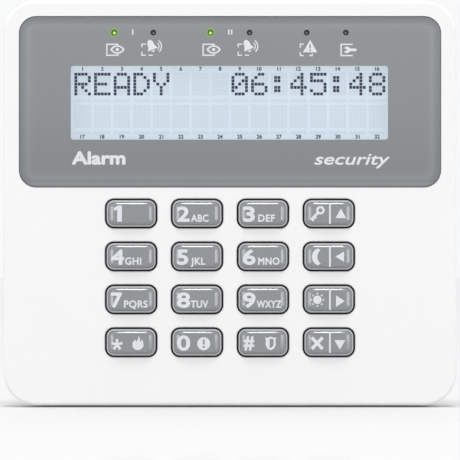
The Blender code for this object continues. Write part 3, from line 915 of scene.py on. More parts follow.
dot_shapes = {
    "R": "11110 10001 10001 11110 10100 10010 10001",
    "E": "11111 10000 10000 11110 10000 10000 11111",
    "A": "01110 10001 10001 10001 11111 10001 10001",
    "D": "11100 10010 10001 10001 10001 10010 11100",
    "Y": "10001 10001 10001 01010 00100 00100 00100",
    "0": "01110 10001 10011 10101 11001 10001 01110",
    "4": "00010 00110 01010 10010 11111 00010 00010",
    "5": "11111 10000 11110 00001 00001 10001 01110",
    "6": "00110 01000 10000 11110 10001 10001 01110",
    "8": "01110 10001 10001 01110 10001 10001 01110",
    ":": "00000 01100 01100 00000 01100 01100 00000",
}
lines = ("READY   06:45:48", " " * 16)
character_pitch = (0.006035, 0.00990)
dot_pitch = (0.00104, 0.00101)
first_character = Vector((-0.0453, lcd_z + 0.00585))


def dots():
    """(x, z, driven) of every dot on the display."""
    for row, line in enumerate(lines):
        for column, letter in enumerate(line):
            shape = dot_shapes.get(letter, "").split() or ["00000"] * 7
            x = first_character.x + character_pitch[0] * column
            z = first_character.y - character_pitch[1] * row
            for down, strip in enumerate(shape + ["00000"]):
                down += down == 7  # the cursor line stands a little apart
                for along, mark in enumerate(strip):
                    yield x + dot_pitch[0] * (along - 2), z - dot_pitch[1] * (down - 3), mark == "1"


dots_navy = lit_finish("driven dots", (0.012, 0.016, 0.070), 0.15)
dots_resting = lit_finish("resting dots", (0.276, 0.313, 0.348), 1.47)
for name, driven, half, lift, dot_finish in (
    ("driven_dots", True, 0.00045, 0.00004, dots_navy),
    ("resting_dots", False, 0.00046, 0.00002, dots_resting),
):

    def add_dots(bm):
        for x, z, is_driven in dots():
            if is_driven == driven:
                low = (x - half, glass_low.y - lift, z - half)
                add_box(bm, low, (x + half, glass_low.y + 0.0001, z + half))

    dot_piece = shaped(name, add_dots, dot_finish)
    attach(dot_piece, "front")


def curve_mesh(curve):
    """A curve's filled shape as a mesh."""
    holder = bpy.data.objects.new(curve.name, curve)
    bpy.context.scene.collection.objects.link(holder)
    bpy.context.view_layer.update()
    mesh = baked_mesh(holder)
    bpy.data.objects.remove(holder)
    return mesh


def letter_mesh(words, height, slant=0.0, spacing=1.0):
    """Words as a flat mesh that faces the front, its lower left corner at the origin."""
    curve = bpy.data.curves.new("letters", "FONT")
    curve.body = words
    curve.size = height / 0.73
    curve.shear = slant
    curve.space_character = spacing
    curve.extrude = 0.000002
    curve.resolution_u = 5
    mesh = curve_mesh(curve)
    left = min((v.co.x for v in mesh.vertices), default=0)
    mesh.transform(Matrix.Rotation(math.pi / 2, 4, "X") @ Matrix.Translation((-left, 0, 0)))
    return mesh


layer_step = 0.000006  # each layer of print lies this far above the last, so that none coincide


def add_letters(bm, words, height, place, y, bold=0.0, align="left", width=None, **style):
    """Adds printed words: place is (x, z) of their lower left corner, or of their lower middle.

    Bold letters are the same letter laid round itself eight times, each layer just above the last.
    """
    mesh = letter_mesh(words, height - 2 * bold, **style)
    natural = max(v.co.x for v in mesh.vertices)
    stretch = (width - 2 * bold) / natural if width else 1
    left = place[0] + bold - (natural * stretch / 2 + bold if align == "middle" else 0)
    squeeze = Matrix.Diagonal((stretch, 1, 1, 1))
    for layer in range(8 if bold else 1):
        angle = math.tau * layer / 8
        x, z = left + bold * math.cos(angle), place[1] + bold + bold * math.sin(angle)
        copy = mesh.copy()
        copy.transform(Matrix.Translation((x, y - layer_step * layer, z)) @ squeeze)
        bm.from_mesh(copy)


number_ink = lit_finish("number ink", (0.07, 0.09, 0.13), 0.25)


def add_character_numbers(bm):
    for number in range(1, 33):
        x = first_character.x + character_pitch[0] * ((number - 1) % 16)
        z = lcd_z + (0.0099 if number <= 16 else -0.01095)
        add_letters(bm, str(number), 0.00135, (x, z), glass_low.y - 0.00003, bold=0.00008, align="middle")


numbers = shaped("character_numbers", add_character_numbers, number_ink)
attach(numbers, "front")

# Indicators: six 3 mm clear epoxy LEDs. Their lenses stand right behind small holes in the panel's grey
# coat. The two green ones are lit, and the others show the dark cup round their die with a painted highlight
# in its middle that glows a little.

led_nodes = ["led_armed_1", "led_alarm_1", "led_armed_2", "led_alarm_2", "led_trouble", "led_service"]
lit_leds = ("led_armed_1", "led_armed_2")
panel_low, panel_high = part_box("window_panel")


def vector_step(material, operation, *inputs):
    """A vector sum whose inputs are values or other nodes' outputs."""
    step = material.node_tree.nodes.new("ShaderNodeVectorMath")
    step.operation = operation
    for socket, value in zip(step.inputs, inputs):
        if isinstance(value, tuple):
            socket.default_value = value
        else:
            material.node_tree.links.new(value, socket)
    return step.outputs["Value" if operation == "LENGTH" else "Vector"]


def add_spot(material, x, z, full, gone, colour):
    """Blends a colour in round (x, z): all of it within the radius full, none of it beyond gone."""
    base = material.node_tree.nodes["Principled BSDF"].inputs["Base Color"]
    place = add_node(material, "TexCoord").outputs["Object"]
    flat = add_node(material, "Mapping", Location=(-x, 0, -z), Scale=(1, 0, 1), Vector=place)
    reach = vector_step(material, "LENGTH", flat.outputs["Vector"])
    spot = add_node(material, "MapRange", From_Min=gone, From_Max=full, Value=reach)
    spot.interpolation_type = "SMOOTHSTEP"
    blend = colour_mix(material, spot.outputs["Result"], base.links[0].from_socket, (*colour, 1))
    material.node_tree.links.new(blend, base)
    return blend


def lens_finish(name, x, z, centre, ring, glow):
    """A lens whose spot over the die glows, with a darker cup round it; on an unlit die the spot is a painted
    highlight.
    """
    material = finish(name, ring, 0.08, grain=1200, mottle=0.05, Coat_Weight=0.5)
    shader = material.node_tree.nodes["Principled BSDF"]
    seen = add_spot(material, x, z, 0.00025, 0.00055, centre)
    material.node_tree.links.new(seen, shader.inputs["Emission Color"])
    shader.inputs["Emission Strength"].default_value = glow
    return material


for node in led_nodes:
    low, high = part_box(node)
    x, z = (low.x + high.x) / 2, (low.z + high.z) / 2
    if node in lit_leds:
        lens = lens_finish(node + " lens", x, z, (0.72, 1.0, 0.30), (0.060, 0.15, 0.010), 1.0)
    else:
        # an unlit lens: its pale middle and faint glow are a painted highlight
        lens = lens_finish(node + " lens", x, z, (0.30, 0.30, 0.27), (0.070, 0.074, 0.062), 0.36)
    radius = 0.0015
    height = high.y - low.y
    dome = [(radius * math.sin(math.radians(a)), height - radius + radius * math.cos(math.radians(a)))
            for a in range(0, 91, 9)]
    profile = dome + [(radius, 0.0014), (0.0019, 0.0013), (0.0019, 0)]
    led = shaped(node, lambda bm: add_turned(bm, (x, z), high.y, profile, sides=40, towards_wall=False), lens)
    soften(led)
    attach(led, "front")
    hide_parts(node)

# Keys: sixteen caps of one mould, clear glossy acrylic over a grey core, with a dark skirt and flange that
# stay behind the cover. The skirt's near-black, which the top's outer rounding and a groove share, is painted
# shade, and the rim's lighter grey is a painted highlight; a sloping band and a softly crowned top catch the
# light.

key_grey = finish(
    "key cap grey", (0.208, 0.214, 0.224), 0.30, grain=1600, grain_depth=0.000001, mottle=0.012,
    Coat_Weight=1.0, Coat_Roughness=0.04, Coat_IOR=1.5
)
# the rim's lighter grey is a painted highlight for the sheen on the cap's clear edge
key_rim_highlight = finish("key cap rim painted highlight", (0.40, 0.405, 0.415), 0.45, grain=1600, grain_depth=0.000001, mottle=0.012)
# near-black painted shade, on the skirt, the cap's outer rounding and its groove
key_skirt_shade = finish("key skirt painted shade", (0.010, 0.010, 0.011), 0.5, grain=2000, mottle=0.1)
face_y = cover_low.y
cap_low, cap_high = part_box("key_1")
cap_size = (0.01521, 0.00831)
cap_corner = 0.00233
flange_low, flange_high = face_y + cover_wall + 0.0003, face_y + cover_wall + 0.0014
crown = 0.00025  # how far the top falls away at its left and right ends
top = cap_low.y


def crown_drop(x):
    return crown * (x / 0.0067) ** 2


def cap_profile():
    """(y, inset, further inset at left and right, finish number) from the skirt to the middle of the top.

    The outer rounding and a groove share the skirt's near-black, which is painted shade. The rim, a lighter
    grey that is a painted highlight, ends at 0.64 mm in, the groove follows, and the sloping band runs from
    1.02 to
    1.36 mm in.
    """
    # finish numbers: the skirt's near-black is painted shade, the rim's lighter grey a painted highlight
    skirt, rim, face = 2, 1, 0
    entries = [(cap_high.y, 0.0003, 0, skirt), (flange_high, 0.0003, 0, skirt)]
    entries += [(flange_high, -0.00089, 0, skirt), (flange_low, -0.00089, 0, skirt)]
    entries += [(flange_low, 0, 0, skirt), (top + 0.00130, 0, 0, skirt)]
    entries += [(top + 0.00106, 0.00005, 0, skirt), (top + 0.00099, 0.00014, 0, skirt)]
    entries += [(top + 0.00097, 0.00017, 0, rim), (top + 0.00080, 0.00064, 0, rim)]
    entries += [(top + 0.00088, 0.00066, 0, skirt), (top + 0.00088, 0.00071, 0, skirt)]
    entries += [(top + 0.00044, 0.00075, 0, face), (top + 0.00042, 0.00079, 0, face)]
    entries += [(top + 0.00038, 0.00095, 0.00036, face), (top + 0.00036, 0.00098, 0.00037, face)]
    entries += [(top + 0.00026, 0.00102, 0.00055, face), (top + 0.00002, 0.00136, 0.00075, face)]
    entries += [(top, 0.00141, 0.00076, face), (top, 0.0019, 0.0007, face), (top, 0.0026, 0.0007, face)]
    return entries


def cap_ring(half_x, half_z, corner):
    """A rounded rectangle with extra points along its two long sides, which follow the crown."""
    ring = outline(half_x, half_z, corner, 10)

    def between(start, end):
        return [tuple(Vector(start).lerp(Vector(end), k / 12)) for k in range(1, 12)]

    return ring[:11] + between(ring[10], ring[11]) + ring[11:33] + between(ring[32], ring[33]) + ring[33:]


def add_cap(bm, centre):
    rings = []
    entries = cap_profile()
    for y, inset, further, _ in entries:
        corner = max(cap_corner - inset, 0.0005) if inset >= 0 else cap_corner
        ring = cap_ring(cap_size[0] / 2 - inset - further, cap_size[1] / 2 - inset, corner)
        drop = 1 if y < top + 0.0013 else 0
        rings.append([bm.verts.new((centre.x + x, y + drop * crown_drop(x), centre.z + z)) for x, z in ring])
    bm.faces.new(rings[0]).material_index = 2
    columns = len(rings[-1]) // 2
    across = rings[-1]
    for k in range(columns - 1):
        bm.faces.new((across[k], across[k + 1], across[-2 - k], across[-1 - k]))
    for near, far, (*_, finish_number) in zip(rings, rings[1:], entries[1:]):
        for k in range(len(near)):
            face = bm.faces.new((near[k], near[k - 1], far[k - 1], far[k]))
            face.material_index = finish_number
    bmesh.ops.recalc_face_normals(bm, faces=bm.faces)


for node in sum(key_nodes, []):
    cap = shaped(node, lambda bm: add_cap(bm, centre_of(node)), key_grey, key_rim_highlight, key_skirt_shade)
    soften(cap, angle=14)
    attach(cap, node + "_cap")
    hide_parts(node)

# Key legends: pale grey print under each cap's clear top. Number keys carry a bold figure and small letters,
# and the right-hand column a symbol and an arrow with a thin line between them.

legend_ink = finish(
    "legend ink", (0.64, 0.66, 0.70), 0.35, grain=2500, grain_depth=0.000001, mottle=0.02,
    Coat_Weight=1.0, Coat_Roughness=0.04
)
mm = 0.001
legend_y = top - 0.00004
base_line = -2.55


def filled(*loops):
    """A flat mesh inside the first loop and outside the others. Loops list (x, z) in mm."""
    curve = bpy.data.curves.new("fill", "CURVE")
    curve.dimensions = "2D"
    curve.fill_mode = "BOTH"
    curve.extrude = 0.002
    for loop in loops:
        spline = curve.splines.new("POLY")
        spline.points.add(len(loop) - 1)
        for point, (x, z) in zip(spline.points, loop):
            point.co = (x, z, 0, 1)
        spline.use_cyclic_u = True
    return curve_mesh(curve)


def arc(centre, radius, start, end, steps=20):
    """Points (x, z) along an arc, by angles in degrees; radius may be one length or two."""
    wide, tall = radius if isinstance(radius, tuple) else (radius, radius)
    angles = [math.radians(start + (end - start) * k / steps) for k in range(steps + 1)]
    return [(centre[0] + wide * math.cos(a), centre[1] + tall * math.sin(a)) for a in angles]


def disc(centre, radius):
    return arc(centre, radius, 0, 345, 23)


def stroke(points, width):
    """The outline of a line of this width through the points, with square ends."""
    left, right = [], []
    for k, here in enumerate(points):
        before, after = Vector(points[max(k - 1, 0)]), Vector(points[min(k + 1, len(points) - 1)])
        here = Vector(here)
        into = (here - before).normalized() if k else (after - here).normalized()
        out = (after - here).normalized() if k < len(points) - 1 else into
        side = Vector((-into.y - out.y, into.x + out.x))
        side = side.normalized() * (width / 2) / max(side.normalized().dot(Vector((-out.y, out.x))), 0.5)
        left.append(tuple(here + side))
        right.append(tuple(here - side))
    return left + right[::-1]


def print_shapes(bm, shapes, centre, y):
    """Adds flat shapes, each just above the last: a shape is a tuple of loops in mm round centre."""
    for layer, loops in enumerate(shapes):
        mesh = filled(*loops)
        place = Matrix.Translation((centre[0], y - layer_step * layer, centre[1]))
        mesh.transform(place @ Matrix.Rotation(math.pi / 2, 4, "X") @ Matrix.Scale(mm, 4))
        bm.from_mesh(mesh)


def arrow(direction, centre=(3.75, 0.05), half=1.6, length=2.7):
    """A triangle that points up, left, right or down."""
    points = {
        "up": [(-half, -length / 2), (half, -length / 2), (0, length / 2)],
        "down": [(-half, length / 2), (0, -length / 2), (half, length / 2)],
        "left": [(length / 2, -half), (length / 2, half), (-length / 2, 0)],
        "right": [(-length / 2, -half), (length / 2, 0), (-length / 2, half)],
    }[direction]
    return ([(centre[0] + x, centre[1] + z) for x, z in points],)


def turned_by(points, degrees, shift=(0, 0)):
    turn = math.radians(degrees)
    cos, sin = math.cos(turn), math.sin(turn)
    return [(x * cos - z * sin + shift[0], x * sin + z * cos + shift[1]) for x, z in points]


divider = (stroke([(0.3, 3.15), (0.3, -3.2)], 0.55),)
key_symbol = [
    (disc((-2.6, 1.0), 1.3), disc((-2.6, 1.0), 0.62)),
    (stroke([(-3.4, 0.2), (-5.5, -1.9)], 0.75),),
    (stroke([(-5.2, -1.6), (-4.6, -2.2)], 0.7),),
    (stroke([(-4.5, -0.9), (-3.9, -1.5)], 0.7),),
]
moon = [(arc((-2.45, -0.1), 2.75, 110, 250, 24) + arc((-0.95, -0.1), 2.6, 232, 128, 20),)]
sun = [(disc((-3.55, -0.1), 1.3),)] + [
    (turned_by([(1.65, -0.33), (2.35, 0), (1.65, 0.33)], 45 * k, (-3.55, -0.1)),) for k in range(8)
]
cross = [
    (stroke([(-5.25, -2.0), (-1.95, 1.5)], 1.0),),
    (stroke([(-5.25, 1.5), (-1.95, -2.0)], 1.0),),
]
star_middle = (-4.3, -0.7)
star = [(stroke([star_middle, turned_by([(1.75, 0)], 90 + 72 * k, star_middle)[0]], 0.78),) for k in range(5)]
flame = [
    (
        arc((2.1, -0.75), (1.72, 1.6), 170, 370, 20)
        + [(3.65, 0.4), (3.3, 0.95), (2.95, 0.3), (2.75, 0.1), (2.75, 0.7), (2.6, 1.5), (2.2, 2.1)]
        + [(2.25, 1.3), (1.95, 0.7), (1.7, 0.2), (1.35, 0.9), (0.75, 0.35), (0.45, -0.1)],
    )
]
alert = [
    (disc((2.05, -0.4), 2.0), stroke([(2.05, 0.9), (2.05, -0.6)], 0.55), disc((2.05, -1.35), 0.36)),
]
shield = [
    (
        [(0.65, 1.6), (1.4, 1.4), (2.35, 1.85), (3.3, 1.4), (4.05, 1.6), (3.8, 0.5), (3.95, -0.7), (3.4, -1.85)]
        + [(2.35, -2.4), (1.3, -1.85), (0.75, -0.7), (0.9, 0.5)],
        [(2.05, 1.1), (3.25, 1.0), (3.2, -0.9), (2.7, -1.5), (2.05, -1.75)],
    ),
]
one = [([(-4.25, -2.5), (-2.8, -2.5), (-2.8, 2.45), (-3.9, 2.45), (-5.25, 1.75), (-5.25, 0.8), (-4.25, 1.2)],)]
figures = {  # each key's figure and its width, then its letters with their left end and width, in mm
    "key_1": ("", 0, "", 0, 0, one),
    "key_2": ("2", 3.9, "ABC", -1.85, 5.4, []),
    "key_3": ("3", 3.7, "DEF", -1.5, 5.2, []),
    "key_4": ("4", 4.1, "GHI", -1.85, 5.0, []),
    "key_5": ("5", 3.5, "JKL", -1.95, 4.5, []),
    "key_6": ("6", 3.9, "MNO", -1.5, 6.6, []),
    "key_7": ("7", 3.5, "PQRS", -2.2, 7.3, []),
    "key_8": ("8", 4.1, "TUV", -1.95, 5.4, []),
    "key_9": ("9", 3.9, "WXYZ", -1.95, 7.6, []),
    "key_star": ("", 0, "", 0, 0, star + flame),
    "key_0": ("0", 4.1, "", 0, 0, alert),
    "key_hash": ("#", 3.35, "", 0, 0, shield),
    "key_up": ("", 0, "", 0, 0, key_symbol + [divider, arrow("up", (3.65, 0.05), 1.65, 2.95)]),
    "key_left": ("", 0, "", 0, 0, moon + [divider, arrow("left", (3.3, -0.05), 1.6, 2.7)]),
    "key_right": ("", 0, "", 0, 0, sun + [divider, arrow("right", (3.5, -0.5), 1.8, 2.7)]),
    "key_down": ("", 0, "", 0, 0, cross + [divider, arrow("down", (3.35, -0.75), 1.7, 2.9)]),
}
for node, (figure, figure_width, letters, letters_left, letters_width, symbols) in figures.items():
    middle = centre_of(node)
    middle = Vector((middle.x, middle.z))

    def add_legend(bm):
        z = middle.y + base_line * mm
        if figure:
            tall, left, lift = (4.7, 5.95, 0.45) if figure == "#" else (5.0, 6.15, 0)
            corner = (middle.x - left * mm, z + lift * mm)
            add_letters(bm, figure, tall * mm, corner, legend_y, bold=0.00022, width=figure_width * mm)
        if letters:
            corner = (middle.x + letters_left * mm, z)
            add_letters(
                bm, letters, 2.4 * mm, corner, legend_y, bold=0.00010, width=letters_width * mm, spacing=1.08
            )
        print_shapes(bm, symbols, middle, legend_y)
        for corner in bm.verts:
            corner.co.y += crown_drop(corner.co.x - middle.x)

    legend = shaped(node + "_legend", add_legend, legend_ink)
    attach(legend, node + "_cap")

# Front cover: the white ABS half that is seen. Its face has sixteen key openings with soft lips and a recess
# for the window panel; inside are six screw bosses. Satin from a finely etched mould.

inner_y = face_y + cover_wall
seat_y = face_y + 0.0018
backing_y = seat_y + 0.0016
panel_size = (panel_high.x - panel_low.x - 0.0004, panel_high.z - panel_low.z - 0.0003)
panel_z = (panel_low.z + panel_high.z) / 2
panel_corner = 0.0052
recess_size = (panel_size[0] + 0.00016, panel_size[1] + 0.00016)
front_edge = 0.0010

shell = quarter_round(face_y, 0, front_edge, True, steps=8)
shell += [(cover_high.y - 0.0002, 0), (cover_high.y, 0.0002)]
cover = moulded("front_cover", (0, 0), cover_size, housing_corner, shell, 18, housing_white)
carve_moulding(cover, (0, 0), cover_size, housing_corner, [(backing_y, cover_wall), (0.01, cover_wall)], 14)
key_field_top = 0.0025
key_field = (cover_size[0] - 2 * cover_wall, key_field_top + cover_size[1] / 2 - cover_wall)
key_field_middle = (0, (key_field_top - cover_size[1] / 2 + cover_wall) / 2)
carve_moulding(cover, key_field_middle, key_field, 0.004, [(inner_y, 0), (0.01, 0)], 6)
recess = [(face_y - 0.01, -0.0002), (face_y - 0.0001, -0.0002), (face_y + 0.0001, 0), (seat_y, 0)]
carve_moulding(cover, (0, panel_z), recess_size, panel_corner + 0.00008, recess, 14)
key_hole = (0.01605, 0.00915)
key_hole_corner = 0.00275
hole_lip = 0.00025


def add_key_holes(bm):
    lip = [(y, -inset) for y, inset in ((face_y - 0.005, hole_lip), (face_y, hole_lip))]
    for step in (1, 2, 3, 4):
        angle = math.pi / 2 * step / 4
        lip.append((face_y + hole_lip * math.sin(angle), -hole_lip * (1 - math.sin(angle)) * 0.9))
    for node in sum(key_nodes, []):
        middle = centre_of(node)
        profile = lip + [(inner_y + 0.0003, 0)]
        add_moulding(bm, (middle.x, middle.z), key_hole, key_hole_corner, profile, steps=10)


def add_backing_holes(bm):
    add_moulding(bm, (0, lcd_z), viewing_area, 0.001, [(face_y, 0), (backing_y + 0.002, 0)], steps=4)
    for node in led_nodes:
        middle = centre_of(node)
        add_rod(bm, (middle.x, middle.z), 0.0018, face_y, backing_y + 0.002, sides=28)


def add_bosses(bm):
    for place in boss_places:
        add_rod(bm, place, 0.00275, (seat_y + inner_y) / 2, board_low.y - 0.0003, sides=32)


def add_boss_holes(bm):
    for place in boss_places:
        add_rod(bm, place, 0.0012, -0.0162, 0, sides=20)


def add_latch_windows(bm):
    for x in (-latch_x, latch_x):
        bottom = cover_low.z
        add_box(bm, (x - 0.0055, -0.0112, bottom - 0.01), (x + 0.0055, -0.0090, bottom + cover_wall + 0.0003))


carve(cover, add_key_holes)
carve(cover, add_backing_holes)
carve(cover, add_bosses, "UNION")
carve(cover, add_boss_holes)
carve(cover, add_latch_windows)
soften(cover)
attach(cover, "front")
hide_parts("front_cover")

# Window panel: glossy acrylic with a grey coat on its back and a rolled edge. The coat leaves a clear window
# over the display and six small holes over the indicators. It is bonded into the cover's recess.

window_size = (0.0972, 0.0226)
window_middle = (-0.0002, lcd_z)
panel_grey = finish(
    "panel coat grey", (0.305, 0.324, 0.340), 0.30, grain=1200, grain_depth=0.000001, mottle=0.010, spread=20,
    Coat_Weight=1.0, Coat_Roughness=0.02
)


def ramp_of(material, value, stops):
    """A grey ramp node: stops lists (position, brightness), lowest position first."""
    ramp = material.node_tree.nodes.new("ShaderNodeValToRGB")
    elements = ramp.color_ramp.elements
    elements[0].position, elements[1].position = stops[0][0], stops[-1][0]
    for position, _ in stops[1:-1]:
        elements.new(position)
    for element, (_, bright) in zip(elements, stops):
        element.color = (bright, bright, bright, 1)
    material.node_tree.links.new(value, ramp.inputs["Fac"])
    return ramp.outputs["Color"]


def tint(material, shade):
    """Multiplies the material's colour by shade."""
    colour = material.node_tree.nodes["Principled BSDF"].inputs["Base Color"]
    mixed = colour_mix(material, 1, colour.links[0].from_socket, shade, "MULTIPLY")
    material.node_tree.links.new(mixed, colour)


def shade_panel(material):
    """Painted light on the grey: shade at the rolled edge, a highlight line inside it, reflection bands from
    lower end to upper.
    """
    place = add_node(material, "TexCoord").outputs["Object"]
    straight = (panel_size[0] / 2 - panel_corner, 1, panel_size[1] / 2 - panel_corner)
    beside = vector_step(material, "SUBTRACT", place, (0, 0, panel_z))
    beside = vector_step(material, "MULTIPLY", beside, (1, 0, 1))
    beside = vector_step(material, "ABSOLUTE", beside)
    beside = vector_step(material, "SUBTRACT", beside, straight)
    beside = vector_step(material, "MAXIMUM", beside, (0, 0, 0))
    from_edge = vector_step(material, "LENGTH", beside)
    inwards = add_node(material, "MapRange", From_Min=panel_corner, From_Max=0, Value=from_edge)
    # painted shade at the rolled edge, with a painted highlight line just inside it
    edge_shade_and_highlight_stops = [(0, 0.34), (0.05, 0.58), (0.08, 0.68), (0.16, 0.72), (0.25, 0.775), (0.36, 0.845)]
    edge_shade_and_highlight_stops += [(0.44, 0.90), (0.51, 0.98), (0.60, 0.93), (0.75, 0.88), (1, 0.85)]
    tint(material, ramp_of(material, inwards.outputs["Result"], edge_shade_and_highlight_stops))
    up = add_node(material, "SeparateXYZ", Vector=place).outputs["Z"]
    height = add_node(material, "MapRange", From_Min=panel_low.z, From_Max=panel_high.z, Value=up)
    # painted reflections: lighter along the lower end and upwards, darker again at the upper end
    height_reflection_stops = [(0, 0.96), (0.008, 0.90), (0.023, 0.88), (0.030, 0.74), (0.036, 0.66), (0.15, 0.64)]
    height_reflection_stops += [(0.45, 0.723), (0.62, 0.746), (0.935, 0.769), (0.955, 0.715), (0.97, 0.677)]
    height_reflection_stops += [(0.988, 0.646), (1, 0.54)]
    tint(material, ramp_of(material, height.outputs["Result"], height_reflection_stops))


# the coat grey gets painted shade and painted reflections
shade_panel(panel_grey)
# painted glow: green mixed into the coat's colour round each lit indicator's hole
for node in lit_leds:  # a little of the light leaks through the coat round the hole
    add_spot(panel_grey, centre_of(node).x, centre_of(node).z, 0.00085, 0.0019, (0.185, 0.30, 0.075))
roll_drop, roll_width = 0.00026, 0.0022
roll = []
for k in range(6, 0, -1):
    roll.append((panel_low.y + roll_drop * (1 - math.sin(math.pi / 2 * k / 6)), roll_width * k / 6))
roll_foot = panel_low.y + roll_drop
roll += [(roll_foot + 0.00004, 0.0001), (roll_foot + 0.0004, 0), (panel_high.y, 0)]
panel = moulded("window_panel", (0, panel_z), panel_size, panel_corner, roll, 14, panel_grey)


def add_panel_openings(bm):
    add_moulding(bm, window_middle, window_size, 0.0008, [(-0.03, 0), (0, 0)], steps=6)
    for node in led_nodes:
        middle = centre_of(node)
        add_rod(bm, (middle.x, middle.z), 0.00088, -0.03, 0, sides=32)


carve(panel, add_panel_openings)
soften(panel)
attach(panel, "front")
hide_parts("window_panel")

clear_acrylic = finish(
    "clear acrylic", (0.97, 0.98, 0.99), 0.02, grain=800, grain_depth=0.0000005, mottle=0.004,
    Transmission_Weight=1.0, IOR=1.2
)
pane = [(panel_low.y, 0.00002), (panel_low.y + 0.0006, 0.00002)]
window = moulded("display_window", window_middle, window_size, 0.0008, pane, 6, clear_acrylic)
soften(window)
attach(window, "front")

# Panel print: white symbols under the indicators, the two partition numerals and two plain words. It is
# screen printed on the panel.

panel_white = finish(
    "panel print white", (0.66, 0.67, 0.68), 0.35, grain=2500, grain_depth=0.000001, mottle=0.02
)
print_y = panel_low.y - 0.00001
symbol_z = centre_of("led_service").z - 0.0052
armed_symbol = [
    (stroke([(1.35, 1.3), (1.05, 1.62), (-2.25, 1.62), (-2.25, -1.76), (1.05, -1.76), (1.4, -1.45)], 0.40),),
    (
        arc((1.0, -1.21), 2.51, 151.2, 28.8, 16) + arc((1.0, 1.21), 2.51, -28.8, -151.2, 16),
        arc((1.0, -1.0), 1.86, 149, 31, 14) + arc((1.0, 1.0), 1.86, -31, -149, 14),
    ),
    (disc((1.0, 0.0), 0.5),),
]
bell_outline = turned_by(
    [(-1.62, -1.35), (-1.4, -0.95), (-1.05, -0.3), (-0.92, 0.85), (-0.55, 1.6), (0, 1.85)]
    + [(0.55, 1.6), (0.92, 0.85), (1.05, -0.3), (1.4, -0.95), (1.62, -1.35)],
    22,
    (-0.65, 1.25),
)
alarm_symbol = [
    (bell_outline,),
    (turned_by(arc((0, -1.62), (0.58, 0.46), 180, 360, 10), 22, (-0.65, 1.25)),),
    (stroke(arc((0.2, 0.95), 1.55, -42, 48, 10), 0.3),),
    (stroke(arc((0.2, 0.95), 2.3, -45, 52, 12), 0.36),),
    (stroke([(-2.2, 1.65), (-3.5, 1.65), (-3.5, 0.7)], 0.38),),
    (stroke([(-3.5, -0.65), (-3.5, -1.75), (-2.3, -1.75)], 0.38),),
    (stroke([(-1.45, -1.75), (-0.15, -1.75)], 0.38),),
]
trouble_symbol = [
    (
        [(-1.15, -0.85), (3.25, -0.85), (1.05, 2.95)],
        stroke([(1.05, 1.65), (1.05, 0.35)], 0.42),
        disc((1.05, -0.2), 0.27),
    ),
    (stroke([(-0.95, 1.65), (-1.95, 1.65), (-1.95, 0.55)], 0.38),),
    (stroke([(-1.95, -0.75), (-1.95, -1.85), (-0.95, -1.85)], 0.38),),
    (stroke([(0.8, -1.85), (1.7, -1.85), (1.7, -1.2)], 0.38),),
]
service_symbol = [
    (stroke([(2.1, 1.6), (-1.45, 1.6), (-1.45, -1.85), (2.1, -1.85)], 0.42),),
    (arc((0.3, -0.1), 1.0, 150, -150, 24) + [(0.05, -0.42), (0.35, -0.1), (0.05, 0.22)],),
    (stroke([(1.0, -0.1), (2.9, -0.1)], 0.85),),
    (disc((2.9, -0.1), 0.425),),
]
symbols_by_led = {
    "led_armed_1": armed_symbol,
    "led_alarm_1": alarm_symbol,
    "led_armed_2": armed_symbol,
    "led_alarm_2": alarm_symbol,
    "led_trouble": trouble_symbol,
    "led_service": service_symbol,
}


def add_panel_print(bm):
    for node, symbol in symbols_by_led.items():
        print_shapes(bm, symbol, (centre_of(node).x, symbol_z), print_y)
    numeral_z = centre_of("led_service").z + 0.00015
    print_shapes(bm, [(stroke([(0, 0.85), (0, -0.85)], 0.42),)], (-0.0298, numeral_z), print_y)
    for x in (-0.0004, 0.0005):
        print_shapes(bm, [(stroke([(0, 0.8), (0, -0.8)], 0.42),)], (x, numeral_z), print_y)
    word_z = panel_low.z + 0.0070
    add_letters(bm, "Alarm", 0.0044, (-0.0485, word_z), print_y, bold=0.00026, width=0.0165)
    add_letters(bm, "security", 0.0038, (0.0258, word_z), print_y, bold=0.00010, width=0.0232, slant=0.25)


panel_print = shaped("panel_print", add_panel_print, panel_white)
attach(panel_print, "front")

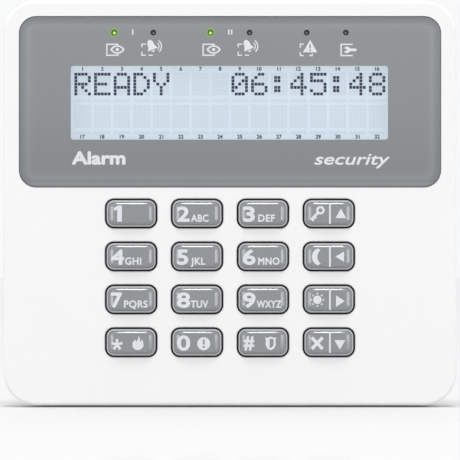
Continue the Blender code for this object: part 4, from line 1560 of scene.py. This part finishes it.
# Stage: a pale satin table that the keypad stands on, an even pale room, a wide soft skylight with a softbox
# in the same direction overhead, and a tall softbox at each side.

floor_mesh = bmesh.new()
floor_gap = 0.0007
floor_place = Matrix.Translation((0, 0, cad_box[0][2] - floor_gap))
bmesh.ops.create_grid(floor_mesh, x_segments=1, y_segments=1, size=4, matrix=floor_place)
table_white = finish(
    "table white", (0.70, 0.70, 0.702), 0.5, grain=400, grain_depth=0.000001, mottle=0.004,
    Specular_IOR_Level=0.0, Coat_Weight=0.08, Coat_Roughness=0.04
)
floor = new_piece("floor", floor_mesh, table_white)

world = bpy.data.worlds.new("pale room")
bpy.context.scene.world = world
world.use_nodes = True
world.node_tree.nodes["Background"].inputs["Color"].default_value = (0.99, 0.995, 1.0, 1)
world.node_tree.nodes["Background"].inputs["Strength"].default_value = 0.955


def add_light(name, kind, place, power):
    """A light at place that shines towards the keypad's middle."""
    light = bpy.data.lights.new(name, kind)
    light.energy = power
    holder = bpy.data.objects.new(name, light)
    holder.location = place
    holder.rotation_euler = (-Vector(place)).to_track_quat("-Z", "Y").to_euler()
    bpy.context.scene.collection.objects.link(holder)
    return light


def softbox(name, place, size, power):
    light = add_light(name, "AREA", place, power)
    light.shape = "RECTANGLE"
    light.size, light.size_y = size


overhead_place = (0, -0.31, 0.90)
softbox("overhead softbox", overhead_place, (0.28, 0.22), 1.0)
add_light("skylight", "SUN", overhead_place, 1.05).angle = math.radians(14)
softbox("left softbox", (-0.72, -0.53, 0.0), (0.22, 0.30), 0.85)
softbox("right softbox", (0.72, -0.53, 0.0), (0.22, 0.30), 0.85)

camera_data = bpy.data.cameras.new("camera")
camera = bpy.data.objects.new("camera", camera_data)
bpy.context.scene.collection.objects.link(camera)
camera_distance = 1.50
camera_height = -0.0083
frame_width = 0.1410  # what the view takes in at the keypad's face
camera_data.sensor_width = 36
camera_data.lens = camera_data.sensor_width * (camera_distance + face_y) / frame_width
camera.location = (0, -camera_distance, camera_height)
camera.rotation_euler = (math.pi / 2, 0, 0)
bpy.context.scene.camera = camera
bpy.context.scene.view_settings.view_transform = "Standard"
